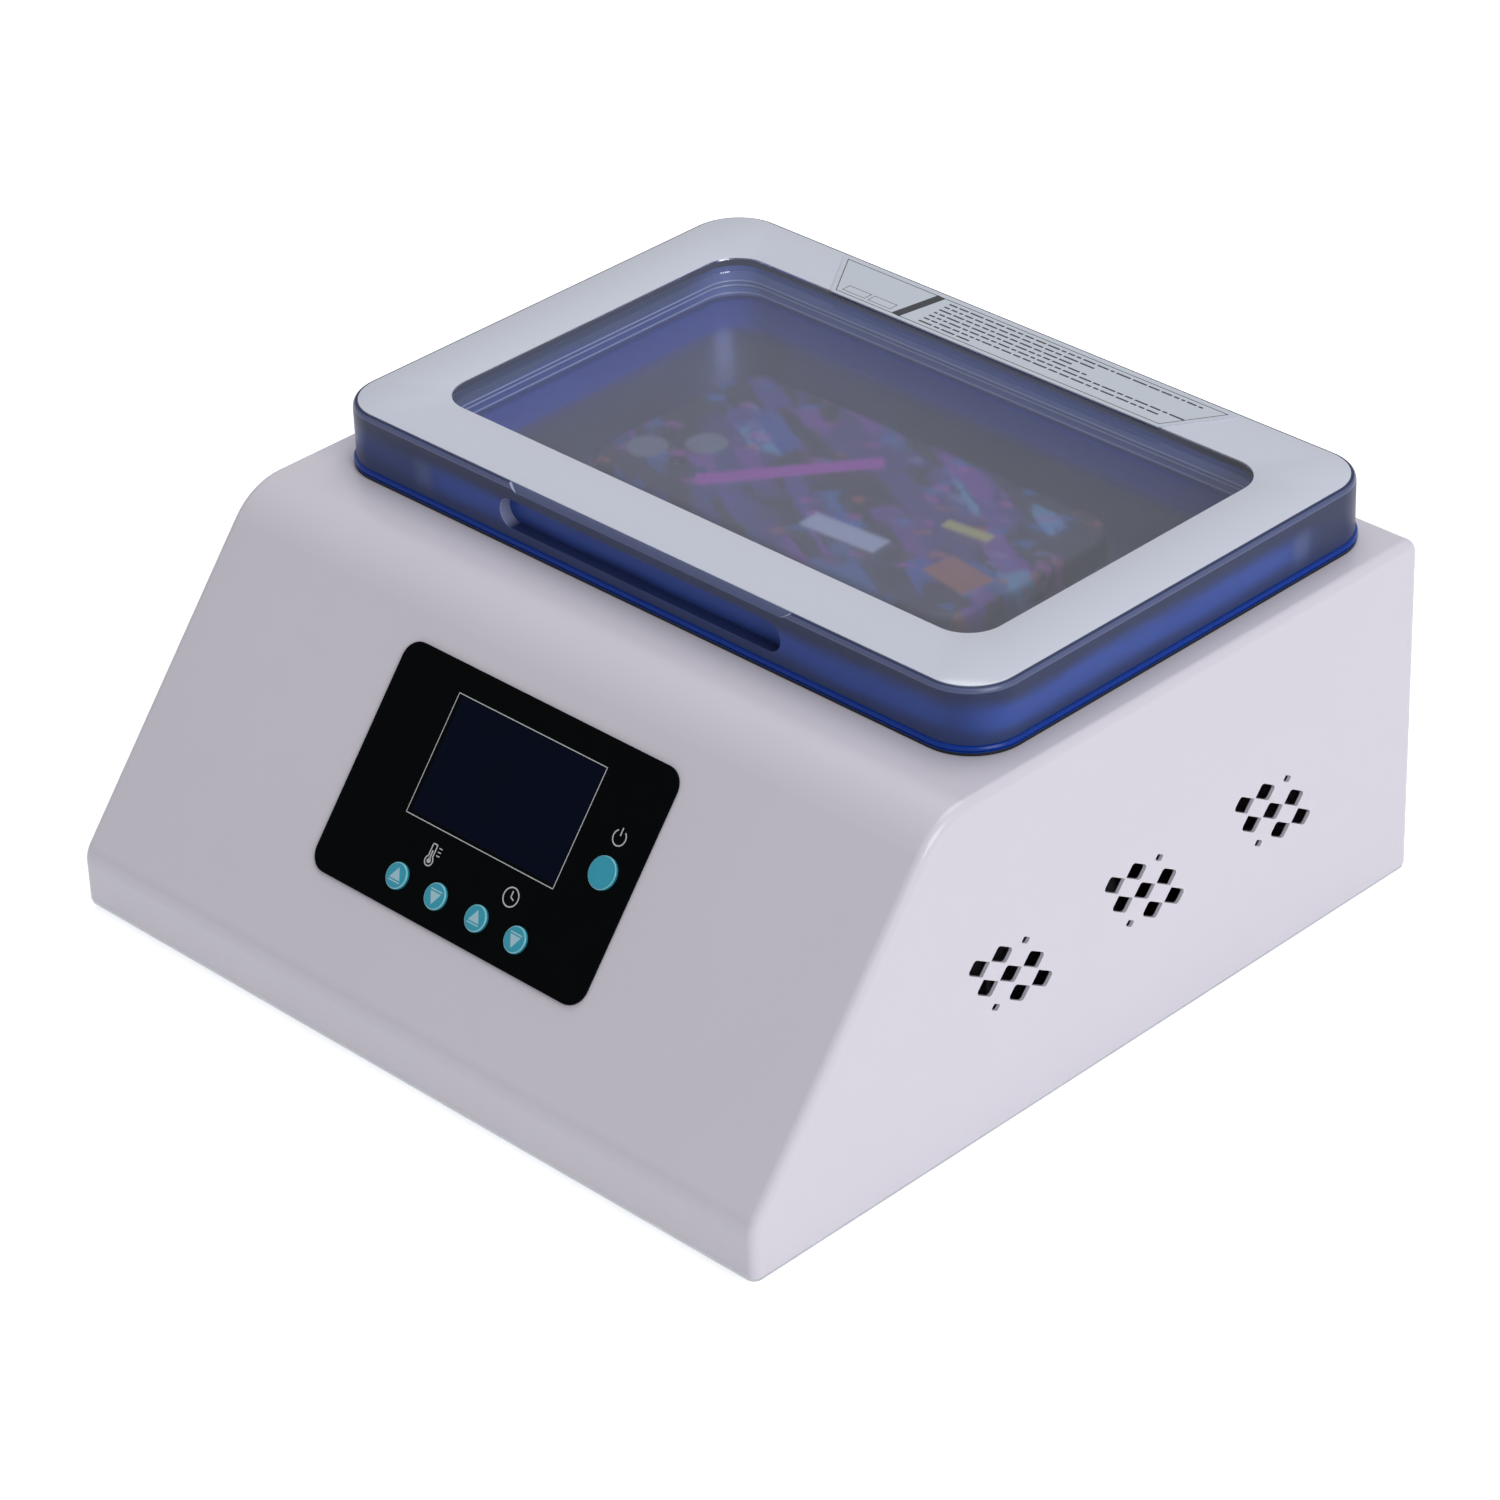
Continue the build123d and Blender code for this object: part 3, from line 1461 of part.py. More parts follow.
leads.append(round_lead([
    (probe_x, probe_y, probe_end_z),
    (probe_x, probe_y, probe_lead_z),
    (probe_lead_x, probe_y, probe_lead_z),
    (probe_lead_x, front_y + probe_lead_y, probe_lead_z),
    (right_pad_x, front_y + probe_lead_y, probe_lead_z),
    (right_pad_x, front_y + probe_lead_y, power_top_z),
]))
with BuildPart() as wiring_leads:
    add(leads)
finish(wiring_leads, "wiring_leads")

ribbon_end_y = power_y - power_board_length / 2 + 2 * board_hole_inset
ribbon_start_depth = sheet + board_gap + board_thickness
ribbon_exit = slope.from_local_coords((ribbon_x, ribbon_up_slope, -ribbon_start_depth))
ribbon_turn = slope.from_local_coords(
    (ribbon_x, ribbon_up_slope, -ribbon_start_depth - ribbon_reach))
with BuildPart() as control_ribbon:
    with BuildLine() as ribbon_route:
        FilletPolyline(
            ribbon_exit, ribbon_turn, (ribbon_x, ribbon_end_y, ribbon_turn.Z),
            (ribbon_x, ribbon_end_y, power_top_z), radius=ribbon_bend)
    with BuildSketch(Plane(origin=ribbon_exit, x_dir=(1, 0, 0), z_dir=-slope.z_dir)):
        Rectangle(ribbon_width, ribbon_thickness)
    sweep(path=ribbon_route.line)
finish(control_ribbon, "control_ribbon")

# --- Lid: clear block, white top frame and blank label --------------------------------------

frame_width = lid_width - 2 * top_frame_inset
frame_depth = lid_depth - 2 * top_frame_inset
recess_z = lid_face_z - top_frame_recess
roof_z = recess_z - lid_roof
cavity_levels = [
    roof_z, gasket_top_z + 2 * cavity_step_height, gasket_top_z + cavity_step_height]
pocket_z = lid_face_z - pocket_drop
lid_front_plane = Plane.XZ.offset(-lid_front_y)
lid_rear_plane = Plane.XZ.offset(-lid_rear_y)
lid_leaf_z = hinge_axis_z + hinge_knuckle_radius - hinge_sheet
lid_hinge_screw_z = lid_leaf_z + hinge_sheet + (hinge_lid_leaf_rise - hinge_sheet) / 2
lid_hinge_screw_points = [
    (x + side * hinge_screw_spread, lid_hinge_screw_z)
    for x in hinge_points
    for side in (-1, 1)
]

with BuildPart() as lid_block:
    with BuildSketch(Plane.XY.offset(gasket_top_z)):
        with Locations((0, lid_y)):
            RectangleRounded(lid_width, lid_depth, lid_corner)
    extrude(amount=lid_face_z - gasket_top_z)
    fillet(lid_block.edges().group_by(Axis.Z)[-1], lid_edge - 2 * slip)
    with BuildSketch(Plane.XY.offset(lid_face_z)):
        with Locations((0, lid_y)):
            RectangleRounded(frame_width + 2 * slip, frame_depth + 2 * slip, top_frame_corner)
            RectangleRounded(
                window_width - 2 * slip, window_depth - 2 * slip, window_corner,
                mode=Mode.SUBTRACT)
    extrude(amount=-top_frame_recess, mode=Mode.SUBTRACT)
    # stepped hollow below the roof
    for step, high_z in enumerate(cavity_levels):
        with BuildSketch(Plane.XY.offset(gasket_top_z)):
            with Locations((0, lid_y)):
                RectangleRounded(
                    window_width + 2 * step * cavity_step,
                    window_depth + 2 * step * cavity_step,
                    window_corner + step * cavity_step,
                )
        extrude(amount=high_z - gasket_top_z, mode=Mode.SUBTRACT)
    # finger pocket in the front, and the shallow relief above it
    with BuildSketch(lid_front_plane):
        with Locations((0, pocket_z)):
            SlotOverall(pocket_length, pocket_height)
    extrude(amount=-pocket_depth, mode=Mode.SUBTRACT)
    with BuildSketch(Plane.XY.offset(lid_face_z)):
        with Locations((0, lid_front_y)):
            SlotOverall(relief_length, 2 * relief_reach)
    extrude(amount=-relief_depth, mode=Mode.SUBTRACT)
    with BuildSketch(lid_rear_plane):
        with Locations(*lid_hinge_screw_points):
            Circle(screw_radius + running)
    extrude(amount=lid_hinge_screw_length, mode=Mode.SUBTRACT)
finish(lid_block, "lid_block")

with BuildPart() as lid_top_frame:
    with BuildSketch(Plane.XY.offset(recess_z)):
        with Locations((0, lid_y)):
            RectangleRounded(frame_width, frame_depth, top_frame_corner)
            RectangleRounded(window_width, window_depth, window_corner, mode=Mode.SUBTRACT)
    extrude(amount=top_frame_recess + top_frame_proud)
finish(lid_top_frame, "lid_top_frame")

label_rear_y = lid_rear_y - top_frame_inset - label_rear_margin
label_front_y = lid_y + window_depth / 2 - label_overhang
with BuildPart() as lid_label:
    with BuildSketch(Plane.XY.offset(lid_top_z)) as label_outline:
        with BuildLine():
            Polyline(
                (-label_top_width / 2, label_rear_y), (label_top_width / 2, label_rear_y),
                (label_bottom_width / 2, label_front_y), (-label_bottom_width / 2, label_front_y),
                close=True,
            )
        make_face()
        fillet(label_outline.vertices(), label_overhang)
    extrude(amount=label_thickness)
finish(lid_label, "lid_label")

# --- Hinges along the rear edge -------------------------------------------------------------


def knuckles(starts, length):
    """Hinge knuckles along X, each bored for its pin."""
    with BuildPart() as barrels:
        for start_x in starts:
            with BuildSketch(Plane.YZ.offset(start_x)):
                with Locations((hinge_axis_y, hinge_axis_z)):
                    Circle(hinge_knuckle_radius)
            extrude(amount=length)
    return barrels.part


def pin_rods(radius):
    """Rods on the hinge line, one to each hinge."""
    with BuildPart() as rods:
        for x in hinge_points:
            with BuildSketch(Plane.YZ.offset(x)):
                with Locations((hinge_axis_y, hinge_axis_z)):
                    Circle(radius)
            extrude(amount=hinge_width / 2, both=True)
    return rods


outer_knuckle = (hinge_width - hinge_knuckle_length) / 2 - hinge_end_gap
body_leaf_low_z = top_z - hinge_body_leaf_drop
body_leaf_height = hinge_axis_z - body_leaf_low_z
notch_low_z = hinge_axis_z - hinge_knuckle_radius - hinge_swing_gap

shelf_end_y = hinge_axis_y - hinge_knuckle_radius - hinge_swing_gap
outer_starts = [x - hinge_width / 2 for x in hinge_points]
outer_starts += [x + hinge_width / 2 - outer_knuckle for x in hinge_points]
outer_knuckles = knuckles(outer_starts, outer_knuckle)
middle_knuckles = knuckles(
    [x - hinge_knuckle_length / 2 for x in hinge_points], hinge_knuckle_length)
pin_bores = pin_rods(hinge_pin_radius + running)

with BuildPart() as body_hinge_leaves:
    with BuildSketch(rear_outside):
        for x in hinge_points:
            with Locations((x, body_leaf_low_z + body_leaf_height / 2)):
                Rectangle(hinge_width, body_leaf_height)
            with Locations((x, notch_low_z + hinge_knuckle_radius)):
                Rectangle(
                    hinge_knuckle_length + 2 * hinge_end_gap, 2 * hinge_knuckle_radius,
                    mode=Mode.SUBTRACT)
        with Locations(*hinge_screw_points):
            Circle(screw_radius + slip, mode=Mode.SUBTRACT)
    extrude(amount=-hinge_sheet)
    add(outer_knuckles)
    add(pin_bores.part, mode=Mode.SUBTRACT)
finish(body_hinge_leaves, "body_hinge_leaves")

with BuildPart() as lid_hinge_leaves:
    with BuildSketch(lid_rear_plane):
        with Locations(*[(x, lid_leaf_z + hinge_lid_leaf_rise / 2) for x in hinge_points]):
            Rectangle(hinge_width, hinge_lid_leaf_rise)
        with Locations(*lid_hinge_screw_points):
            Circle(screw_radius + slip, mode=Mode.SUBTRACT)
    extrude(amount=-hinge_sheet)
    for x in hinge_points:
        with BuildSketch(Plane.XY.offset(lid_leaf_z)):
            with Locations((x, (lid_rear_y + shelf_end_y) / 2)):
                Rectangle(hinge_width, shelf_end_y - lid_rear_y)
            with Locations((x, (lid_rear_y + hinge_axis_y) / 2)):
                Rectangle(hinge_knuckle_length, hinge_axis_y - lid_rear_y)
        extrude(amount=hinge_sheet)
    add(middle_knuckles)
    add(pin_bores.part, mode=Mode.SUBTRACT)
finish(lid_hinge_leaves, "lid_hinge_leaves")

hinge_pins = pin_rods(hinge_pin_radius)
finish(hinge_pins, "hinge_pins")

body_leaf_face = rear_outside.offset(-hinge_sheet)
body_hinge_screws = pan_screws(
    facing_out(body_leaf_face), turned(hinge_screw_points), hinge_sheet + sheet + screw_length)
finish(body_hinge_screws, "body_hinge_screws")

lid_leaf_face = lid_rear_plane.offset(-hinge_sheet)
lid_hinge_screws = pan_screws(
    facing_out(lid_leaf_face), turned(lid_hinge_screw_points),
    hinge_sheet + lid_hinge_screw_length - slip)
finish(lid_hinge_screws, "lid_hinge_screws")

# --- Write every piece ----------------------------------------------------------------------

os.makedirs("parts", exist_ok=True)
for piece in pieces:
    export_step(piece.part, f"parts/{piece.part.label}.step")
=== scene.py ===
"""Looks of a table-top vacuum heat press: painted housing, clear hinged lid, heated chamber.

Metres, +Z up, -Y to the front with the control panel, +X to the user's right. Every piece is
made where it sits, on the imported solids, and rides on the body that carries it.
"""

from __future__ import annotations

import logging
import math
import random
from dataclasses import dataclass, field
from enum import Enum, IntEnum
from functools import cache
from itertools import zip_longest
from typing import Iterable, Sequence

import bmesh
import bpy
from mathutils import Matrix, Vector


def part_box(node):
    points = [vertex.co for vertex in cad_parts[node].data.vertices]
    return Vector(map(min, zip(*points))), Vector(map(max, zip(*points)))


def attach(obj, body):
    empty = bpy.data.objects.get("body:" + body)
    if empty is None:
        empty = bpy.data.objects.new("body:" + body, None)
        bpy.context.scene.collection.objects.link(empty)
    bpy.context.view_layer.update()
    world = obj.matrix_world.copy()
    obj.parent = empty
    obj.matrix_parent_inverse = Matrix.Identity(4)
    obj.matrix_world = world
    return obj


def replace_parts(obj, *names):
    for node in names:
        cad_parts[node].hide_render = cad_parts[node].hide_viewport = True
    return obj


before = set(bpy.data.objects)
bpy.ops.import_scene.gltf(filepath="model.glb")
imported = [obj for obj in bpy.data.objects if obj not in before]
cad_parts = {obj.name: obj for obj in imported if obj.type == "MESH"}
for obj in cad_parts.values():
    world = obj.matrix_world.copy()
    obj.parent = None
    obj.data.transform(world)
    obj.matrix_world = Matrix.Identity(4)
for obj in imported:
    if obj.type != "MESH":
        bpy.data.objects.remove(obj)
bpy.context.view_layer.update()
log = logging.getLogger("vacuum_press")

Colour = tuple[float, float, float, float]
Point = tuple[float, float, float]
Pair = tuple[float, float]
Stops = Sequence[tuple[float, Colour]]
Socket = bpy.types.NodeSocket
Piece = bpy.types.Object
Mesh = bmesh.types.BMesh

MM = 0.001
TOUCHING = 0.001 * MM
SHARP_ANGLE = math.radians(28.0)
RIGHT, REAR, UP = Matrix.Identity(3)
ORIGIN, WHOLE = (0.0, 0.0, 0.0), (1.0, 1.0, 1.0)


def srgb(red: int, green: int, blue: int) -> Colour:
    """Turn an 8-bit screen colour into the linear colour that shaders use, by the sRGB curve."""
    shares = [part / 255.0 for part in (red, green, blue)]
    return (*(part / 12.92 if part <= 0.04045 else ((part + 0.055) / 1.055) ** 2.4 for part in shares), 1.0)


def tinted(colour: Colour, by: float) -> Colour:
    """Return the colour made lighter or darker by a factor."""
    return (*(min(part * by, 1.0) for part in colour[:3]), 1.0)


# --- Shading tools ---


class Graph:
    """The node tree of a material or a world, with short ways to add and join its nodes."""

    def __init__(self, owner: bpy.types.Material | bpy.types.World) -> None:
        """Empty the tree of a new material or world.

        Args:
            owner: The material or world that has the tree.
        """
        owner.use_nodes = True
        self.tree = owner.node_tree
        self.tree.nodes.clear()

    def add(self, kind: str, inputs: dict | None = None, **settings: object) -> bpy.types.Node:
        """Add a node.

        Args:
            kind: The node's type, without its ShaderNode prefix.
            inputs: Values or sockets for the node's inputs, by name or number.
            **settings: Values for the node's own properties.

        Returns:
            The new node.
        """
        node = self.tree.nodes.new("ShaderNode" + kind)
        for key, value in settings.items():
            setattr(node, key, value)
        for key, value in (inputs or {}).items():
            if isinstance(value, Socket):
                self.tree.links.new(value, node.inputs[key])
            else:
                node.inputs[key].default_value = value
        return node

    def maths(self, operation: str, *values: object) -> Socket:
        """The result of a Math node on numbers or sockets."""
        return self.add("Math", dict(enumerate(values)), operation=operation).outputs[0]

    def vector(self, operation: str, *values: object) -> Socket:
        """The vector that a Vector Math node makes of vectors or sockets."""
        return self.add("VectorMath", dict(enumerate(values)), operation=operation).outputs[0]

    def length(self, vector: Socket) -> Socket:
        """A vector's length."""
        return self.add("VectorMath", {0: vector}, operation="LENGTH").outputs["Value"]

    def split(self, vector: Socket) -> Sequence[Socket]:
        """A vector's three coordinates."""
        return self.add("SeparateXYZ", {0: vector}).outputs

    def place(self, scale: Point = WHOLE, centre: Point = ORIGIN, turn: Point = ORIGIN) -> Socket:
        """Object coordinates, measured from a centre, turned and then stretched.

        Args:
            scale: How much each turned coordinate is multiplied by.
            centre: The point that becomes zero, in metres.
            turn: Angles about the axes, in radians.

        Returns:
            The coordinate socket.
        """
        source = self.add("TexCoord").outputs["Object"]
        moved = self.vector("ADD", source, tuple(-part for part in centre))
        turned = self.add("Mapping", {"Vector": moved, "Rotation": turn}).outputs[0]
        return self.vector("MULTIPLY", turned, scale)

    def noise(self, vector: Socket, size: float, detail: float = 2.0, rough: float = 0.5) -> Socket:
        """Cloudy noise whose features are about the given size in metres."""
        inputs = {"Vector": vector, "Scale": 1.0 / size, "Detail": detail, "Roughness": rough}
        return self.add("TexNoise", inputs).outputs["Fac"]

    def cells(self, vector: Socket, scale: float, loose: float = 1.0, **settings: str) -> Sequence[Socket]:
        """Cells round scattered points; loose says how far the points leave their grid."""
        inputs = {"Vector": vector, "Scale": scale, "Randomness": loose}
        return self.add("TexVoronoi", inputs, feature="F1", **settings).outputs

    def ramp(self, factor: Socket, stops: Stops, kind: str = "LINEAR") -> Socket:
        """Colours along a factor.

        Args:
            factor: The number that chooses the colour.
            stops: Places from 0 to 1 with their colours, in order.
            kind: How the ramp passes from one stop to the next.

        Returns:
            The colour socket.
        """
        node = self.add("ValToRGB", {"Fac": factor})
        node.color_ramp.interpolation = kind
        elements = node.color_ramp.elements
        elements.remove(elements[-1])
        elements[0].position, elements[0].color = stops[0]
        for place, colour in stops[1:]:
            elements.new(place).color = colour
        return node.outputs["Color"]

    def fade(self, value: Socket, *ends: float, kind: str = "SMOOTHSTEP") -> Socket:
        """A number that goes between the last two ends while the value goes between the first two."""
        inputs = {"Value": value} | dict(enumerate(ends, 1))
        return self.add("MapRange", inputs, interpolation_type=kind).outputs[0]

    def about(self, factor: Socket, middle: float, swing: float) -> Socket:
        """A noise factor turned into a number that strays from the middle by the swing."""
        return self.fade(factor, 0.3, 0.7, max(middle - swing, 0.0), middle + swing, kind="LINEAR")

    def mix(self, factor: object, low: object, high: object) -> Socket:
        """A colour between low and high."""
        return self.add("Mix", {0: factor, 6: low, 7: high}, data_type="RGBA").outputs[2]

    def drifting(self, factor: Socket, colour: Colour, by: float) -> Socket:
        """A colour that is up to a share darker and lighter along a factor."""
        return self.mix(factor, tinted(colour, 1.0 - by), tinted(colour, 1.0 + by))

    def bump(self, height: Socket, depth: float) -> Socket:
        """The normals of a relief whose pattern runs from 0 to 1, with its depth in metres."""
        return self.add("Bump", {"Height": height, "Distance": depth, "Strength": 1.0}).outputs["Normal"]


# --- Finishes ---


class Grain(Enum):
    """The way in which a bare metal surface is worked."""

    BRUSHED_X = (0.02, 1.0, 1.0)
    BRUSHED_Y = (1.0, 0.02, 1.0)
    BRUSHED_Z = (1.0, 1.0, 0.02)
    SPANGLED = (1.0, 1.0, 0.9)
    BLASTED = (1.0, 1.0, 1.1)


@dataclass(frozen=True)
class Finish:
    """What every finish has: the record's slot, a name, a colour and a roughness."""

    slot: str
    name: str
    colour: Colour
    roughness: float

    def inputs(self, graph: Graph) -> dict:
        """The inputs of the finish's shader."""
        raise NotImplementedError

    def ends(self, graph: Graph, shader: Socket) -> dict:
        """The inputs of the material's output."""
        return {"Surface": shader}

    @cache
    def material(self) -> bpy.types.Material:
        """Make the finish's material, once for each finish.

        Returns:
            The material, made the first time that it is asked for.
        """
        material = bpy.data.materials.new(self.name)
        graph = Graph(material)
        shader = graph.add("BsdfPrincipled", self.inputs(graph)).outputs[0]
        graph.add("OutputMaterial", self.ends(graph, shader))
        return material


@dataclass(frozen=True)
class Paint(Finish):
    """Baked powder paint with a faint orange peel, a slow drift of tone and a few dust grains."""

    peel_size: float = 1.1 * MM
    peel_depth: float = 0.012 * MM
    drift: float = 0.025
    drift_size: float = 60 * MM
    gloss_size: float = 8 * MM
    dust_pitch: float = 45.0
    dust_size: float = 0.012
    dust_strength: float = 0.35
    dust_tone: float = 0.35
    coat: float = 0.25

    def inputs(self, graph: Graph) -> dict:
        """The paint's shader inputs.

        Args:
            graph: The tree to add to.

        Returns:
            The inputs by name.
        """
        spot = graph.place()
        tone = graph.drifting(graph.noise(spot, self.drift_size, 3.0), self.colour, self.drift)
        dust = graph.maths("LESS_THAN", graph.cells(spot, self.dust_pitch)["Distance"], self.dust_size)
        shade = graph.maths("MULTIPLY", dust, self.dust_strength)
        return {
            "Base Color": graph.mix(shade, tone, tinted(self.colour, self.dust_tone)),
            "Roughness": graph.about(graph.noise(spot, self.gloss_size), self.roughness, 0.02),
            "Coat Weight": self.coat,
            "Coat Roughness": 0.12,
            "Normal": graph.bump(graph.noise(spot, self.peel_size, 2.0, 0.4), self.peel_depth),
        }


@dataclass(frozen=True)
class Metal(Finish):
    """Bare metal, brushed one way, blasted, or zinc-plated with a spangle."""

    grain: Grain = Grain.BLASTED
    grain_size: float = 0.35 * MM
    grain_depth: float = 0.004 * MM
    flake_pitch: float = 220.0
    smear_size: float = 14 * MM
    tarnish: float = 0.12

    def inputs(self, graph: Graph) -> dict:
        """The metal's shader inputs, with its grain in tone, gloss and relief.

        Args:
            graph: The tree to add to.

        Returns:
            The inputs by name.
        """
        stretched = graph.place(self.grain.value)
        if self.grain is Grain.SPANGLED:
            flakes = graph.cells(stretched, self.flake_pitch)["Color"]
            pattern = graph.add("SeparateColor", {0: flakes}).outputs[0]
        else:
            pattern = graph.noise(stretched, self.grain_size, 3.0, 0.6)
        grain = graph.maths("MULTIPLY", pattern, 0.6)
        smears = graph.maths("MULTIPLY", graph.noise(graph.place(), self.smear_size, 3.0), 0.4)
        worn = graph.maths("ADD", grain, smears)
        return {
            "Base Color": graph.drifting(worn, self.colour, self.tarnish),
            "Metallic": 1.0,
            "Roughness": graph.about(worn, self.roughness, 0.07),
            "Normal": graph.bump(pattern, self.grain_depth),
        }


@dataclass(frozen=True)
class Moulded(Finish):
    """Moulded plastic or rubber with a fine spark-eroded grain; glow lets light soak into it."""

    grain_size: float = 0.5 * MM
    grain_depth: float = 0.015 * MM
    cloud_size: float = 9 * MM
    drift: float = 0.12
    sheen: float = 0.0
    glow: float = 0.0
    glow_reach: Point = (0.4, 0.8, 2.4)
    shine: float = 0.5

    def inputs(self, graph: Graph) -> dict:
        """The plastic's shader inputs.

        Args:
            graph: The tree to add to.

        Returns:
            The inputs by name.
        """
        spot = graph.place()
        cloud = graph.noise(spot, self.cloud_size)
        inputs = {
            "Base Color": graph.drifting(cloud, self.colour, self.drift),
            "Roughness": graph.about(cloud, self.roughness, 0.04),
            "Specular IOR Level": self.shine,
            "Sheen Weight": self.sheen,
            "Sheen Roughness": 0.4,
            "Normal": graph.bump(graph.noise(spot, self.grain_size, 3.0, 0.6), self.grain_depth),
        }
        if self.glow:
            inputs |= {"Subsurface Weight": self.glow, "Subsurface Radius": self.glow_reach}
            inputs["Subsurface Scale"] = 1.0 * MM
        return inputs


@dataclass(frozen=True)
class Clear(Finish):
    """Clear cast plastic with fine wipe marks; haze is the share that scatters instead of passing."""

    haze: float = 0.0
    index: float = 1.49
    density: float = 7.0
    tint: Colour = (0.22, 0.34, 0.62, 1.0)
    passed: Colour = (0.9, 0.92, 0.96, 1.0)

    def ends(self, graph: Graph, shader: Socket) -> dict:
        """Let the lamps' light through, and darken the body with its thickness.

        Args:
            graph: The tree to add to.
            shader: The plastic's own surface.

        Returns:
            The inputs of the material's output.
        """
        rays = graph.add("LightPath").outputs
        lamp = graph.maths("MAXIMUM", rays["Is Shadow Ray"], rays["Is Diffuse Ray"])
        window = graph.add("BsdfTransparent", {"Color": self.passed}).outputs[0]
        ends = {"Surface": graph.add("MixShader", {0: lamp, 1: shader, 2: window}).outputs[0]}
        if self.density:
            body = graph.add("VolumeAbsorption", {"Color": self.tint, "Density": self.density})
            ends["Volume"] = body.outputs[0]
        return ends

    def inputs(self, graph: Graph) -> dict:
        """The clear plastic's shader inputs.

        Args:
            graph: The tree to add to.

        Returns:
            The inputs by name.
        """
        wipes = graph.noise(graph.place((1.0, 0.25, 1.0)), 1.6 * MM, 4.0, 0.6)
        soft = graph.noise(graph.place(), 22 * MM)
        return {
            "Base Color": self.colour,
            "Roughness": graph.about(soft, self.roughness, 0.015),
            "IOR": self.index,
            "Transmission Weight": 1.0 - self.haze,
            "Normal": graph.bump(wipes, 0.0004 * MM),
        }


@dataclass(frozen=True)
class ClearEdge(Clear):
    """Satin edge of a clear block, painted with the soft broad glow of a blue body lit behind it.

    The painted glow band is strongest near the centre's height and fades out beyond the reach from the
    centre, with a painted lower glow at its foot. A painted highlight streak can mark where it ends,
    and painted light can lift the colour towards the rear.
    """

    # Painted light: the glow, lower glow, highlight streak and rear light colours stand in for light and
    # shade.
    painted_glow_colour: Colour = srgb(54, 86, 176)
    painted_lower_glow_colour: Colour = srgb(44, 64, 116)
    centre: Point = (16.0 * MM, 28.0 * MM, 135.8 * MM)
    reach: Pair = (112.0 * MM, 72.0 * MM)
    fade: float = 13.0 * MM
    band: float = 6.4 * MM
    low: float = 9.6 * MM
    highlight_streak: float = 0.35
    highlight_streak_colour: Colour = srgb(118, 132, 170)
    painted_rear_light_colour: Colour = srgb(118, 132, 170)
    painted_rear_light: float = 0.0
    rear: Pair = (40.0 * MM, 64.0 * MM)

    def banded(self, graph: Graph, soft: Socket) -> Socket:
        """The edge's colour: smoky above and below, a painted glow band that fades out at the corners,
        painted highlight streaks and painted rear light.

        Args:
            graph: The tree to add to.
            soft: Cloudy noise that makes the band's height waver.

        Returns:
            The colour socket.
        """
        parts = graph.split(graph.place(centre=self.centre))
        waver = graph.maths("MULTIPLY", graph.maths("SUBTRACT", soft, 0.5), 5 * MM)
        height = graph.maths("ADD", parts[2], waver)
        inside = [
            graph.fade(graph.maths("ABSOLUTE", part), reach - self.fade, reach + self.fade, 1.0, 0.0)
            for part, reach in zip(parts, self.reach)
        ]
        # Painted glow band at the middle height, with a painted lower glow at the foot.
        upper = graph.fade(height, -1 * MM, self.band, 1.0, 0.0, kind="SMOOTHERSTEP")
        lower = graph.fade(height, -self.low, -2 * MM, 0.12, 1.0, kind="SMOOTHERSTEP")
        foot = graph.fade(height, -self.low, -5 * MM, 1.0, 0.0)
        middle = graph.maths("MULTIPLY", upper, lower)
        band = graph.maths("MULTIPLY", graph.maths("MAXIMUM", *inside), middle)
        colour = graph.mix(band, self.colour, self.painted_glow_colour)
        colour = graph.mix(graph.maths("MULTIPLY", foot, 0.6), colour, self.painted_lower_glow_colour)
        # Painted highlight streaks where the reach ends.
        ends = []
        for part, end in zip(parts, (-self.reach[0], self.reach[1])):
            away = graph.maths("ABSOLUTE", graph.maths("SUBTRACT", part, end))
            ends.append(graph.fade(away, 1 * MM, 6 * MM, self.highlight_streak, 0.0))
        highlight_streak = graph.maths("MULTIPLY", graph.maths("MAXIMUM", *ends), lower)
        colour = graph.mix(graph.maths("MULTIPLY", highlight_streak, upper), colour, self.highlight_streak_colour)
        # Painted light that lifts the colour towards the rear.
        if self.painted_rear_light:
            rear = graph.fade(parts[1], *self.rear, 0.0, self.painted_rear_light)
            colour = graph.mix(rear, colour, self.painted_rear_light_colour)
        return colour

    def inputs(self, graph: Graph) -> dict:
        """The edge's shader inputs.

        Args:
            graph: The tree to add to.

        Returns:
            The inputs by name.
        """
        soft = graph.noise(graph.place((0.4, 0.4, 1.6)), 14 * MM, 3.0)
        wipes = graph.noise(graph.place((0.25, 0.25, 1.0)), 1.2 * MM, 3.0, 0.6)
        return {
            "Base Color": self.banded(graph, soft),
            "Roughness": graph.about(soft, self.roughness, 0.03),
            "IOR": self.index,
            "Specular IOR Level": 0.25,
            "Transmission Weight": 1.0 - self.haze,
            "Normal": graph.bump(wipes, 0.001 * MM),
        }


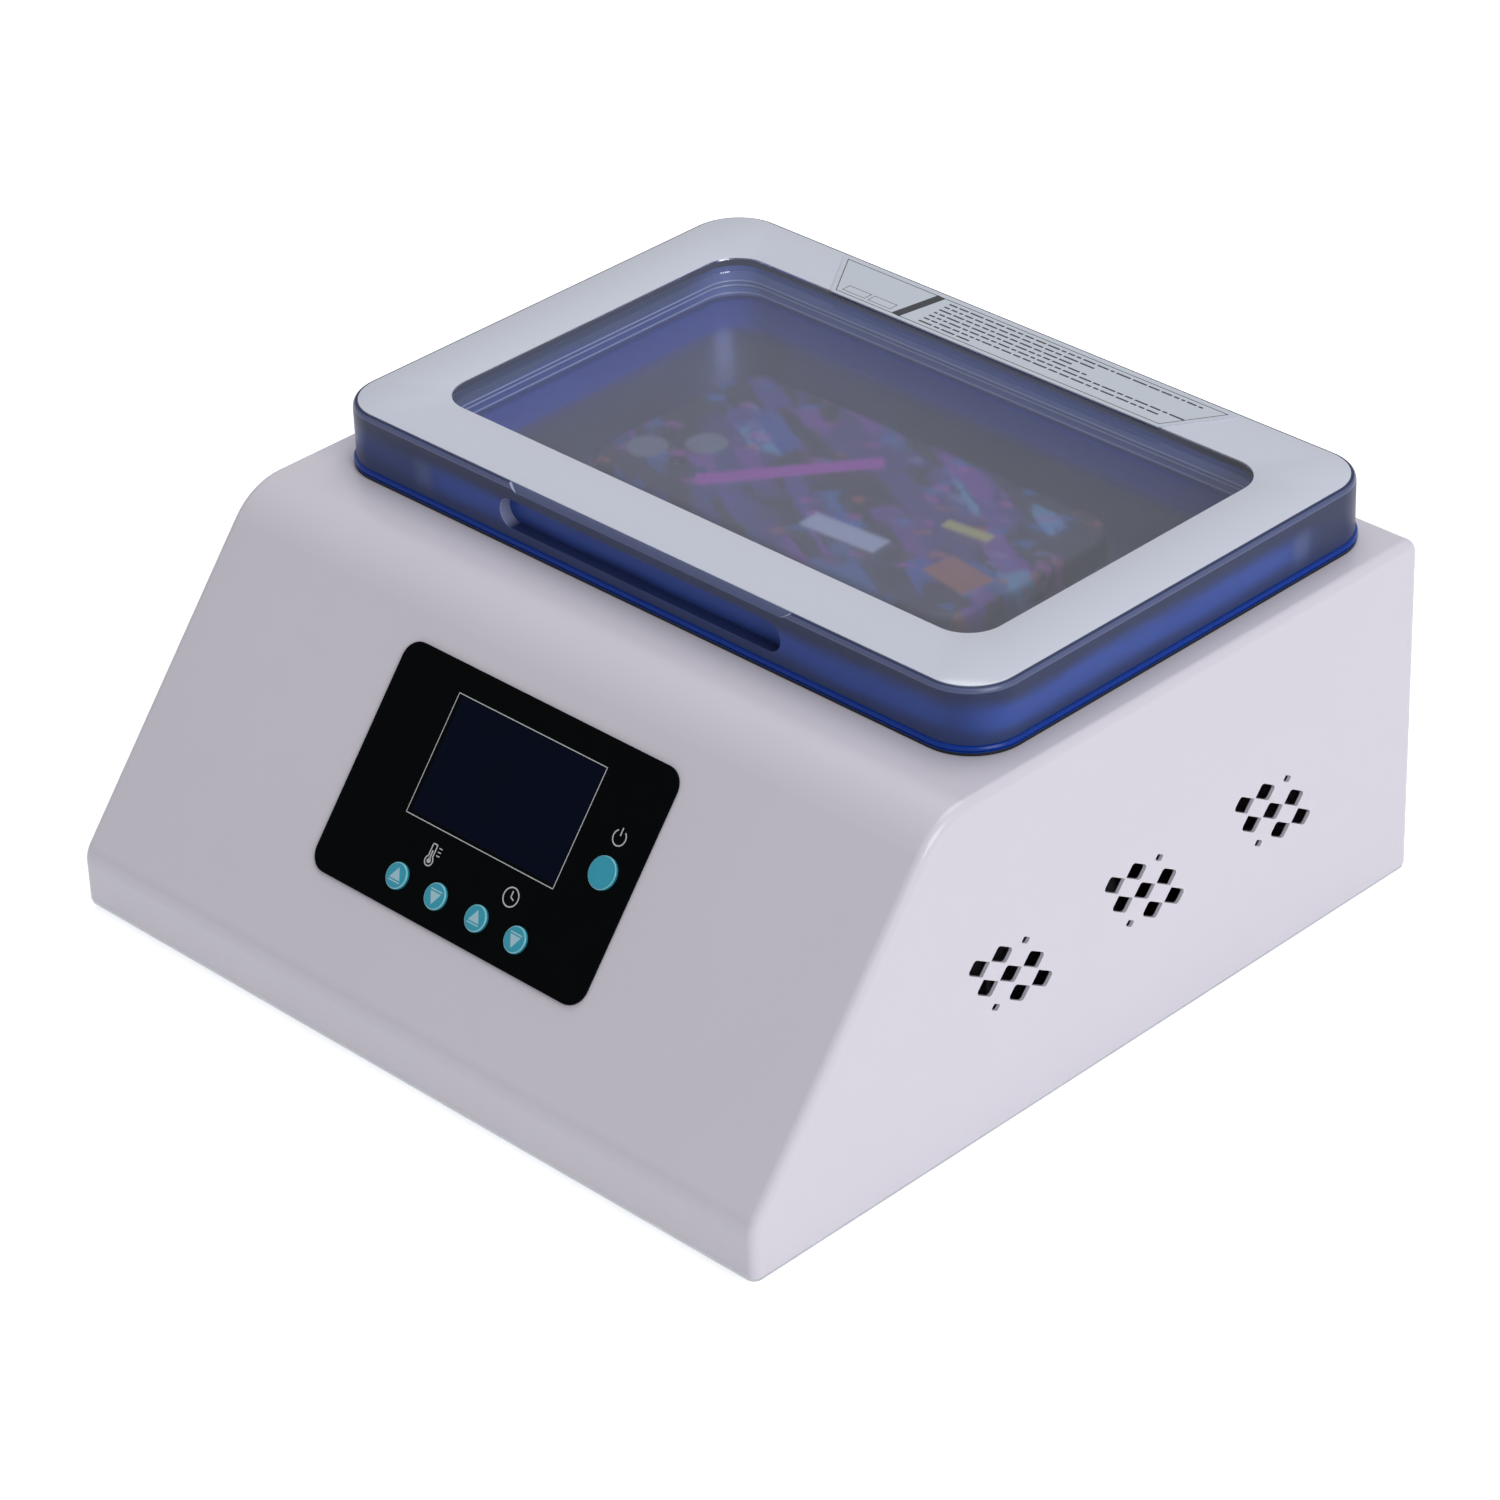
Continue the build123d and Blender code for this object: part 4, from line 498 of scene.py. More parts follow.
@dataclass(frozen=True)
class Board(Finish):
    """Printed circuit board: green resist over copper tracks, with plated pads.

    The turn tips the pattern into the board's own plane.
    """

    cell: float = 5.0 * MM
    turn: float = 0.0
    track: float = 0.2
    track_half: float = 0.035
    pad: float = 0.14
    pad_colour: Colour = srgb(198, 176, 120)

    def inputs(self, graph: Graph) -> dict:
        """The board's shader inputs.

        Args:
            graph: The tree to add to.

        Returns:
            The inputs by name.
        """
        spot = graph.place(turn=(self.turn, 0.0, 0.0))
        away = graph.cells(spot, 1.0 / self.cell, 0.85, distance="CHEBYCHEV")["Distance"]
        edge = graph.maths("SUBTRACT", graph.maths("SUBTRACT", 0.5, away), self.track)
        track = graph.maths("LESS_THAN", graph.maths("ABSOLUTE", edge), self.track_half)
        pad = graph.maths("LESS_THAN", graph.cells(spot, 2.6 / self.cell, 0.0)["Distance"], self.pad)
        green = graph.mix(track, self.colour, tinted(self.colour, 2.2))
        return {
            "Base Color": graph.mix(pad, green, self.pad_colour),
            "Metallic": graph.maths("MULTIPLY", pad, 0.9),
            "Roughness": self.roughness,
            "Coat Weight": 0.4,
            "Coat Roughness": 0.15,
            "Normal": graph.bump(track, 0.03 * MM),
        }


@dataclass(frozen=True)
class Button(Finish):
    """A domed translucent button cap: a lighter middle and a pale rim as painted highlights, with painted
    shade beside the rim and on the side.
    """

    rim_highlight_colour: Colour = srgb(122, 196, 212)
    radius: float = 4.3 * MM
    rim: float = 0.5 * MM
    centre: Point = (0.0, 0.0, 0.0)
    normal: Point = (0.0, 0.0, 1.0)

    def inputs(self, graph: Graph) -> dict:
        """The cap's shader inputs; its tone depends on the distance from the button's axis.

        Args:
            graph: The tree to add to.

        Returns:
            The inputs by name.
        """
        spot = graph.place(centre=self.centre)
        away = graph.length(graph.vector("CROSS_PRODUCT", spot, self.normal))
        edge = 1.0 - self.rim / self.radius
        # Painted light: lighter middle, painted shade just inside the rim, pale painted highlight on the
        # rim, painted shade on the side.
        stops = [
            (0.0, tinted(self.colour, 1.06)),
            (edge - 0.04, self.colour),
            (edge, tinted(self.colour, 0.8)),
            (edge + 0.02, self.rim_highlight_colour),
            (0.985, self.rim_highlight_colour),
            (1.0, tinted(self.colour, 0.75)),
        ]
        grain = graph.noise(spot, 0.4 * MM)
        return {
            "Base Color": graph.ramp(graph.maths("DIVIDE", away, self.radius), stops),
            "Roughness": graph.about(grain, self.roughness, 0.03),
            "Coat Weight": 0.3,
            "Normal": graph.bump(grain, 0.006 * MM),
        }


@dataclass(frozen=True)
class Strip:
    """One straight printed strip: its middle, half of its length and width, turn and colour."""

    x: float
    y: float
    half: Pair
    turn: float
    colour: Colour

    def mask(self, graph: Graph) -> Socket:
        """Add a mask that is 1 inside the strip.

        Args:
            graph: The tree to add to.

        Returns:
            The mask socket.
        """
        turn = (0.0, 0.0, math.radians(self.turn))
        parts = graph.split(graph.place(centre=(self.x, self.y, 0.0), turn=turn))
        inside = [
            graph.maths("LESS_THAN", graph.maths("ABSOLUTE", part), half)
            for part, half in zip(parts, self.half)
        ]
        return graph.maths("MULTIPLY", *inside)


@dataclass(frozen=True)
class CasePrint(Finish):
    """A plain patchwork of patches, bands, blocks and strips, printed all over a phone case."""

    centre: Point = (0.0, 45.9 * MM, 120.0 * MM)
    patch: float = 17.0 * MM
    turn: float = math.radians(28.0)
    fray: float = 5.0 * MM
    veil: float = 0.2
    veil_colour: Colour = srgb(66, 58, 92)
    band_share: float = 0.52
    block_share: float = 0.84
    ground: Stops = (
        (0.0, srgb(26, 20, 48)), (0.24, srgb(70, 44, 120)), (0.42, srgb(104, 52, 138)),
        (0.54, srgb(44, 52, 120)), (0.68, srgb(20, 16, 36)), (0.88, srgb(58, 98, 160)),
        (0.95, srgb(148, 66, 148)),
    )
    bands: Stops = (
        (0.0, srgb(20, 14, 38)), (0.42, srgb(84, 56, 148)), (0.62, srgb(132, 62, 162)),
        (0.78, srgb(50, 84, 170)), (0.92, srgb(112, 172, 206)),
    )
    blocks: Stops = (
        (0.0, srgb(12, 10, 30)), (0.36, srgb(60, 140, 214)), (0.6, srgb(206, 90, 190)),
        (0.82, srgb(206, 112, 88)), (0.93, srgb(150, 164, 200)),
    )
    strips: tuple[Strip, ...] = (
        Strip(-22 * MM, 43 * MM, (30 * MM, 3.4 * MM), -52.0, srgb(206, 70, 196)),
        Strip(18 * MM, 26 * MM, (15 * MM, 4.6 * MM), -4.0, srgb(214, 218, 232)),
        Strip(46 * MM, 52 * MM, (9 * MM, 2.4 * MM), -6.0, srgb(226, 212, 116)),
        Strip(62 * MM, 30 * MM, (10 * MM, 6.5 * MM), 8.0, srgb(186, 116, 92)),
    )

    def inputs(self, graph: Graph) -> dict:
        """The print's shader inputs.

        Args:
            graph: The tree to add to.

        Returns:
            The inputs by name.
        """
        streaks = graph.place((0.34, 1.0, 0.2), self.centre, (0.0, 0.0, self.turn))
        spot = graph.place((0.6, 1.0, 0.2), self.centre, (0.0, 0.0, -0.6 * self.turn))
        frayed = graph.maths("SUBTRACT", graph.noise(spot, 0.9 * MM, 3.0), 0.5)
        fray = graph.maths("MULTIPLY", frayed, self.fray)
        streaks, spot = (graph.vector("ADD", where, fray) for where in (streaks, spot))
        picks = []
        for where, cell in ((streaks, self.patch), (streaks, 0.4 * self.patch), (spot, 0.2 * self.patch)):
            cells = graph.cells(where, 1.0 / cell, 0.95, distance="CHEBYCHEV")
            picks.append(graph.add("SeparateColor", {0: cells["Color"]}).outputs)
        ground, bands, blocks = (
            graph.ramp(pick[0], stops, "CONSTANT")
            for pick, stops in zip(picks, (self.ground, self.bands, self.blocks))
        )
        colour = graph.mix(graph.maths("GREATER_THAN", picks[1][1], self.band_share), ground, bands)
        few = graph.maths("MULTIPLY", graph.maths("GREATER_THAN", picks[2][1], self.block_share), 0.6)
        colour = graph.mix(few, colour, blocks)
        for strip in self.strips:
            colour = graph.mix(strip.mask(graph), colour, strip.colour)
        return {
            "Base Color": graph.mix(self.veil, colour, self.veil_colour),
            "Roughness": self.roughness,
            "Coat Weight": 0.5,
            "Coat Roughness": 0.1,
            "Normal": graph.bump(graph.noise(spot, 0.6 * MM), 0.006 * MM),
        }


class Palette:
    """Every finish of the machine that is used by name."""

    body = Paint("body_paint", "housing_paint", srgb(221, 217, 229), 0.34)
    lid_paint = Paint(
        "lid_frame_paint", "lid_frame_enamel", srgb(213, 218, 234), 0.16,
        drift=0.012, coat=0.6, peel_depth=0.003 * MM,
    )
    clear = Clear("clear_acrylic", "clear_lid_plastic", (0.97, 0.98, 1.0, 1.0), 0.03)
    # Satin lid edge whose colour carries a painted glow, a painted lower glow and painted highlight
    # streaks.
    clear_edge = ClearEdge("clear_acrylic", "satin_lid_edge_painted_glow", srgb(44, 56, 96), 0.40, haze=0.7)
    # Painted highlight: pale hazy colour that makes the window's bead lines bright.
    clear_bead_highlight = Clear("clear_acrylic", "window_bead_painted_highlight", (0.5, 0.56, 0.86, 1.0), 0.3, haze=0.85)
    # Painted highlight: pale colour on the frosted relief facets and on a band of the edge rounding.
    clear_facet = Clear("clear_acrylic", "relief_facet_painted_highlight", srgb(98, 108, 150), 0.3, haze=0.75)
    clear_shade = Clear("clear_acrylic", "shaded_pocket_floor", srgb(38, 52, 104), 0.5, haze=0.85)
    # Painted highlight: a pale streak at the pocket's left end, fading to the dark floor colour.
    clear_end_highlight = ClearEdge(
        "clear_acrylic", "pocket_end_painted_highlight", srgb(38, 52, 104), 0.3, haze=0.75,
        painted_glow_colour=srgb(38, 52, 104), painted_lower_glow_colour=srgb(38, 52, 104),
        centre=(0.0, 45.9 * MM, 134.7 * MM), reach=(60.6 * MM, 400 * MM),
        band=60 * MM, low=60 * MM, highlight_streak=1.0, highlight_streak_colour=srgb(156, 162, 202),
    )
    # Satin window wall whose colour carries a painted glow, a painted lower glow and painted light towards
    # the rear.
    clear_wall = ClearEdge(
        "clear_acrylic", "satin_window_wall_painted_glow", srgb(88, 106, 152), 0.35, haze=0.85,
        painted_glow_colour=srgb(62, 98, 188), painted_lower_glow_colour=srgb(66, 102, 184),
        centre=(0.0, 45.9 * MM, 131.0 * MM), reach=(400 * MM, 400 * MM),
        painted_rear_light_colour=srgb(118, 142, 216), painted_rear_light=1.0,
    )
    # Pale colour: the white frame seen under it, painted light on the block's underside and a painted
    # highlight on the relief's tips.
    clear_seat = Clear("clear_acrylic", "frame_seat_painted_light", srgb(164, 172, 200), 0.4, haze=0.9)
    gasket = Moulded(
        "gasket_silicone", "blue_gasket_silicone", srgb(8, 56, 152), 0.32,
        grain_size=0.8 * MM, grain_depth=0.008 * MM, drift=0.08, glow=0.25, shine=0.25,
    )
    # Painted light: a lighter blue on the gasket's bore, where light comes in through the window.
    gasket_bore = Moulded(
        "gasket_silicone", "gasket_bore_painted_light", srgb(34, 84, 196), 0.45, glow=0.25, shine=0.25
    )
    # Painted light: pale grey-blue on the gasket's top under the block, in place of its own deep blue.
    gasket_seat = Moulded("gasket_silicone", "gasket_seat_painted_light", srgb(112, 124, 168), 0.5)
    # Painted shadow: near-black lowest band of the gasket, standing for the shadow gap under its lip.
    gasket_shadow_line = Moulded("gasket_silicone", "gasket_foot_painted_shadow", srgb(8, 10, 20), 0.6)
    membrane = Clear(
        "membrane_silicone", "clear_membrane_silicone", (0.84, 0.86, 0.98, 1.0), 0.25,
        haze=0.03, index=1.2, density=0.0,
    )
    tray = Metal("tray_steel", "tray_brushed_steel", srgb(158, 162, 186), 0.38, Grain.BRUSHED_X)
    plate = Metal("plate_aluminium", "plate_aluminium", srgb(158, 161, 180), 0.42, Grain.BRUSHED_X)
    mould = Metal("mould_aluminium", "mould_aluminium", srgb(178, 180, 186), 0.34)
    zinc = Metal("zinc_sheet", "zinc_plated_sheet", srgb(176, 180, 186), 0.36, Grain.SPANGLED)
    steel = Metal("steel", "plated_screw_steel", srgb(190, 192, 196), 0.26)
    hinge = Metal("hinge_steel", "satin_hinge_steel", srgb(188, 190, 194), 0.3, Grain.BRUSHED_X)
    brass = Metal("brass", "turned_brass", srgb(206, 172, 104), 0.28, Grain.BRUSHED_Z)
    motor = Metal("motor_steel", "pump_motor_can", srgb(150, 152, 158), 0.3, Grain.BRUSHED_Y)
    can = Metal("capacitor_can", "capacitor_sleeve", srgb(96, 100, 124), 0.35, Grain.BRUSHED_Z)
    foot = Moulded("foot_rubber", "foot_rubber", srgb(26, 26, 28), 0.72, sheen=0.2)
    black = Moulded("black_plastic", "black_moulded_plastic", srgb(24, 24, 27), 0.46)
    insulation = Moulded(
        "insulation", "mineral_insulation", srgb(206, 196, 168), 0.9,
        grain_size=1.6 * MM, grain_depth=0.25 * MM,
    )
    mat = Moulded(
        "mat_silicone", "heater_mat_silicone", srgb(176, 84, 40), 0.55,
        grain_size=1.2 * MM, grain_depth=0.05 * MM,
    )
    spacer = Moulded("spacer_plastic", "lens_spacer_plastic", srgb(128, 130, 140), 0.4)
    hose = Moulded("hose_silicone", "hose_silicone", srgb(206, 210, 214), 0.35, glow=0.4)
    film = Moulded(
        "overlay_film", "black_panel_film", srgb(1, 3, 4), 0.3,
        grain_size=0.25 * MM, grain_depth=0.002 * MM, drift=0.05, shine=0.04,
    )
    glass = Moulded(
        "display_glass", "dark_display_glass", srgb(2, 8, 30), 0.12,
        grain_size=3 * MM, grain_depth=0.0008 * MM, drift=0.25, shine=0.05,
    )
    core = Moulded("transformer_core", "transformer_tape", srgb(212, 178, 66), 0.45)
    lead = Moulded("lead_insulation", "lead_insulation", srgb(196, 40, 34), 0.42)
    ribbon = Moulded("ribbon_grey", "ribbon_insulation", srgb(150, 152, 156), 0.5)
    rocker = Moulded("rocker_red", "red_rocker_plastic", srgb(176, 22, 20), 0.3, glow=0.2)
    label = Moulded(
        "label_film", "white_label_film", srgb(205, 212, 224), 0.34,
        grain_size=0.3 * MM, grain_depth=0.002 * MM, drift=0.01,
    )
    ink_dark = Moulded("label_film", "dark_label_ink", srgb(52, 54, 62), 0.5, drift=0.15)
    ink_pale = Moulded("overlay_film", "pale_panel_ink", srgb(196, 200, 204), 0.5, drift=0.05)
    ink_mark = Moulded("button_teal", "pale_button_ink", srgb(168, 208, 220), 0.45, drift=0.05)
    ink_white = Moulded("rocker_red", "white_rocker_ink", srgb(226, 226, 226), 0.5, drift=0.05)
    board = Board("board_green", "power_board_resist", srgb(18, 92, 52), 0.4)
    print = CasePrint("case_print", "case_print", srgb(90, 50, 140), 0.42)


# --- Mesh tools ---


@dataclass(frozen=True)
class Outline:
    """A rounded rectangle lying level: width, depth, corner radius and height."""

    width: float
    depth: float
    corner: float
    z: float = 0.0

    def grown(self, by: float, z: float | None = None) -> Outline:
        """The same outline moved outwards by a distance, at its own height or another."""
        height = self.z if z is None else z
        return Outline(self.width + 2 * by, self.depth + 2 * by, self.corner + by, height)

    def at(self, z: float) -> Outline:
        """The same outline at another height."""
        return Outline(self.width, self.depth, self.corner, z)

    def draw(self, mesh: Mesh, centre: Pair, steps: int) -> list[bmesh.types.BMEdge]:
        """Draw the outline as a loop of edges.

        Args:
            mesh: The mesh to draw in.
            centre: The outline's middle in x and y.
            steps: How many edges make each corner.

        Returns:
            The loop's edges.
        """
        corners = bmesh.ops.create_grid(mesh, x_segments=1, y_segments=1, size=0.5)["verts"]
        bmesh.ops.scale(mesh, vec=(self.width, self.depth, 1.0), verts=corners)
        bmesh.ops.translate(mesh, vec=(*centre, self.z), verts=corners)
        rounded = bmesh.ops.bevel(
            mesh, geom=corners, offset=self.corner, offset_type="OFFSET", affect="VERTICES",
            segments=steps, profile=0.5, material=-1,
        )["verts"]
        face = rounded[0].link_faces[0]
        edges = list(face.edges)
        bmesh.ops.delete(mesh, geom=[face], context="FACES_ONLY")
        return edges


def skinned(
    outlines: Sequence[Outline], centre: Pair, steps: int, ring: bool = False, slots: Sequence[int] = ()
) -> Mesh:
    """Stretch a skin over a row of outlines.

    Args:
        outlines: The outlines in order along the surface.
        centre: Their shared middle in x and y.
        steps: How many edges make each corner.
        ring: Whether the last outline joins the first, as in a frame; otherwise the two ends
            are closed with flat faces.
        slots: The material slot of each strip between two outlines, 0 where it isn't given.

    Returns:
        A closed mesh whose faces point outwards.
    """
    mesh = bmesh.new()
    loops = [outline.draw(mesh, centre, steps) for outline in outlines]
    pairs = list(zip(loops, loops[1:] + loops[:1] if ring else loops[1:]))
    for (one, other), slot in zip_longest(pairs, slots[: len(pairs)], fillvalue=0):
        if abs(one[0].verts[0].co.z - other[0].verts[0].co.z) < TOUCHING:
            strip = bmesh.ops.triangle_fill(mesh, use_beauty=True, edges=one + other)["geom"]
        else:
            strip = bmesh.ops.bridge_loops(mesh, edges=one + other)["faces"]
        for item in strip:
            if isinstance(item, bmesh.types.BMFace):
                item.material_index = slot
    if not ring:
        bmesh.ops.contextual_create(mesh, geom=loops[0])
        bmesh.ops.contextual_create(mesh, geom=loops[-1])
    bmesh.ops.recalc_face_normals(mesh, faces=mesh.faces)
    return mesh


def creased(mesh: Mesh) -> None:
    """Shade the mesh smooth, with a crease wherever two faces meet at a sharp angle.

    Args:
        mesh: The mesh to shade.
    """
    for face in mesh.faces:
        face.smooth = True
    for edge in mesh.edges:
        edge.smooth = edge.is_manifold and edge.calc_face_angle(0.0) < SHARP_ANGLE


def linked(name: str, data: bpy.types.ID) -> Piece:
    """Put an object with the given data into the scene.

    Args:
        name: The object's name.
        data: Its mesh, lamp or camera.

    Returns:
        The object.
    """
    piece = bpy.data.objects.new(name, data)
    bpy.context.scene.collection.objects.link(piece)
    return piece


def stored(mesh: Mesh, name: str) -> bpy.types.Mesh:
    """Keep a bmesh as mesh data, and free it.

    Args:
        mesh: The bmesh, freed afterwards.
        name: The data's name.

    Returns:
        The mesh data.
    """
    data = bpy.data.meshes.new(name)
    mesh.to_mesh(data)
    mesh.free()
    return data


def piece_of(mesh: Mesh, name: str, body: str, *finishes: Finish) -> Piece:
    """Turn a mesh into a finished piece that rides on a body.

    Args:
        mesh: The mesh, freed afterwards.
        name: The piece's name.
        body: The body it rides on.
        *finishes: The finish of each of its material slots.

    Returns:
        The piece.
    """
    creased(mesh)
    data = stored(mesh, name)
    for finish in finishes:
        data.materials.append(finish.material())
    piece = linked(name, data)
    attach(piece, body)
    log.info("%s: %d faces, rides on %s", name, len(data.polygons), body)
    return piece


def carved(piece: Piece, cutters: Iterable[Mesh]) -> None:
    """Cut closed shapes out of a piece for good.

    Args:
        piece: The piece to cut.
        cutters: Closed meshes in the same place; each is freed.
    """
    for cutter in cutters:
        data = stored(cutter, "cutter")
        tool = linked("cutter", data)
        cut = piece.modifiers.new("cut", "BOOLEAN")
        cut.operation, cut.solver, cut.object = "DIFFERENCE", "EXACT", tool
        result = piece.evaluated_get(bpy.context.evaluated_depsgraph_get())
        shaped = bpy.data.meshes.new_from_object(result)
        piece.modifiers.clear()
        old, piece.data = piece.data, shaped
        bpy.data.objects.remove(tool)
        for spare in (old, data):
            bpy.data.meshes.remove(spare)
    edited = bmesh.new()
    edited.from_mesh(piece.data)
    bmesh.ops.remove_doubles(edited, verts=edited.verts, dist=TOUCHING)
    creased(edited)
    edited.to_mesh(piece.data)
    edited.free()


@dataclass
class Plane:
    """A flat place to draw on: its origin, its two directions and the way it faces."""

    origin: Vector
    across: Vector
    up: Vector

    def matrix(self) -> Matrix:
        """The matrix that lays a drawing made in x and y onto the plane."""
        axes = (self.across, self.up, self.across.cross(self.up))
        return Matrix.Translation(self.origin) @ Matrix(axes).transposed().to_4x4()

    def point(self, across: float, up: float) -> Vector:
        """A point on the plane, given by its distances across and up."""
        return self.matrix() @ Vector((across, up, 0.0))


@dataclass
class Print:
    """Flat printed marks, drawn in x and y and laid on a plane as a thin layer of ink."""

    name: str
    plane: Plane
    thickness: float = 0.03 * MM
    ring_steps: int = 40
    mesh: Mesh = field(default_factory=bmesh.new)

    def bar(self, start: Pair, end: Pair, width: float) -> None:
        """Draw a straight stroke.

        Args:
            start: Where it starts.
            end: Where it ends.
            width: How wide it is.
        """
        verts = bmesh.ops.create_grid(self.mesh, x_segments=1, y_segments=1, size=0.5)["verts"]
        run = Vector(end) - Vector(start)
        middle = (Vector(start) + Vector(end)) / 2
        turn = Matrix.Rotation(math.atan2(run.y, run.x), 4, "Z")
        bmesh.ops.scale(self.mesh, vec=(run.length, width, 1.0), verts=verts)
        bmesh.ops.rotate(self.mesh, matrix=turn, verts=verts)
        bmesh.ops.translate(self.mesh, vec=(*middle, 0.0), verts=verts)

    def path(self, points: Sequence[Pair], width: float, shut: bool = True) -> None:
        """Draw strokes through a row of points.

        Args:
            points: The points in order.
            width: How wide the strokes are.
            shut: Whether the last point is joined to the first.
        """
        ends = [*points[1:], *points[:1]] if shut else points[1:]
        for start, end in zip(points, ends):
            run = (Vector(end) - Vector(start)).normalized() * width / 2
            self.bar(tuple(Vector(start) - run), tuple(Vector(end) + run), width)

    def box(self, low: Pair, high: Pair, width: float) -> None:
        """Draw the outline of a rectangle from its low corner to its high one."""
        (left, bottom), (right, top) = low, high
        self.path([(left, bottom), (right, bottom), (right, top), (left, top)], width)

    def disc(self, centre: Pair, radius: float, corners: int = 32, turn: float = 0.0) -> None:
        """Draw a filled disc, or a regular shape with few corners.

        Args:
            centre: Its middle.
            radius: Its radius, out to the corners.
            corners: How many corners it has.
            turn: The angle that it is turned by.
        """
        verts = bmesh.ops.create_circle(
            self.mesh, cap_ends=True, segments=corners, radius=radius,
            matrix=Matrix.Translation((*centre, 0.0)) @ Matrix.Rotation(turn, 4, "Z"),
        )["verts"]
        verts[0].link_faces[0].normal_update()

    def ring(
        self, centre: Pair, radius: float, width: float, start: float = 0.0, sweep: float = math.tau
    ) -> None:
        """Draw a round stroke, all the way round or part of it.

        Args:
            centre: Its middle.
            radius: Its radius along the middle of the stroke.
            width: How wide it is.
            start: The angle where it starts.
            sweep: The angle that it goes through.
        """
        angle = Vector((math.cos(start), math.sin(start), 0.0))
        middle = Vector((*centre, 0.0))
        ends = [self.mesh.verts.new(middle + angle * (radius + side * width / 2)) for side in (-1, 1)]
        edge = self.mesh.edges.new(ends)
        bmesh.ops.spin(
            self.mesh, geom=[edge, *ends], cent=middle, axis=UP, angle=sweep,
            steps=self.ring_steps, use_merge=sweep == math.tau, use_duplicate=False,
        )

    def lay(self, body: str, finish: Finish) -> Piece:
        """Thicken the marks, put them on their plane and make them a piece.

        Args:
            body: The body that they ride on.
            finish: The ink.

        Returns:
            The printed piece.
        """
        mesh = self.mesh
        bmesh.ops.recalc_face_normals(mesh, faces=mesh.faces)
        down = [face for face in mesh.faces if face.normal.z < 0]
        bmesh.ops.reverse_faces(mesh, faces=down)
        raised = bmesh.ops.extrude_face_region(mesh, geom=list(mesh.faces), use_keep_orig=True)
        tops = [item for item in raised["geom"] if isinstance(item, bmesh.types.BMVert)]
        bmesh.ops.translate(mesh, vec=(0.0, 0.0, self.thickness), verts=tops)
        bmesh.ops.recalc_face_normals(mesh, faces=mesh.faces)
        bmesh.ops.transform(mesh, matrix=self.plane.matrix(), verts=mesh.verts)
        return piece_of(mesh, self.name, body, finish)


# --- Sub-assemblies ---


class Assembly:
    """A group of pieces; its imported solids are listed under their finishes."""

    solids: dict[Finish, list[str]] = {}

    def dress(self) -> None:
        """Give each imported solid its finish."""
        for finish, nodes in self.solids.items():
            for node in nodes:
                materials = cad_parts[node].data.materials
                materials.clear()
                materials.append(finish.material())
                log.info("%s: %s", node, finish.name)

    def build(self) -> None:
        """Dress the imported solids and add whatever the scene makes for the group."""
        self.dress()


class Housing(Assembly):
    """Welded sheet housing on its base plate and feet."""

    solids = {
        Palette.body: ["housing_shell"],
        Palette.zinc: ["base_plate"],
        Palette.steel: ["base_screws"],
        Palette.foot: ["feet"],
    }


class Chamber(Assembly):
    """Heated tray with its heater stack, mould, printed phone case and lens spacers."""

    solids = {
        Palette.tray: ["chamber_tray"],
        Palette.plate: ["heater_plate"],
        Palette.mat: ["heater_mat"],
        Palette.zinc: ["heater_clamp_plate"],
        Palette.insulation: ["insulation_board"],
        Palette.steel: ["temperature_probe", "chamber_nuts"],
        Palette.black: ["thermal_cutout"],
        Palette.mould: ["phone_mould"],
        Palette.print: ["phone_case"],
        Palette.spacer: ["lens_spacers"],
    }


class AirCircuit(Assembly):
    """Ports, hoses, release valve and vacuum pump."""

    solids = {
        Palette.brass: ["chamber_ports", "release_valve"],
        Palette.hose: ["air_hoses"],
        Palette.black: ["pump_head"],
        Palette.zinc: ["pump_bracket"],
        Palette.motor: ["pump_motor"],
        Palette.foot: ["pump_mounts"],
    }


class Electrics(Assembly):
    """Power board, its parts, the boards' screws and the wiring."""

    solids = {
        Palette.board: ["power_board"],
        Palette.core: ["power_transformer"],
        Palette.can: ["power_capacitors"],
        Palette.plate: ["power_heatsink"],
        Palette.brass: ["board_standoffs"],
        Palette.steel: ["board_screws"],
        Palette.lead: ["wiring_leads"],
        Palette.ribbon: ["control_ribbon"],
    }


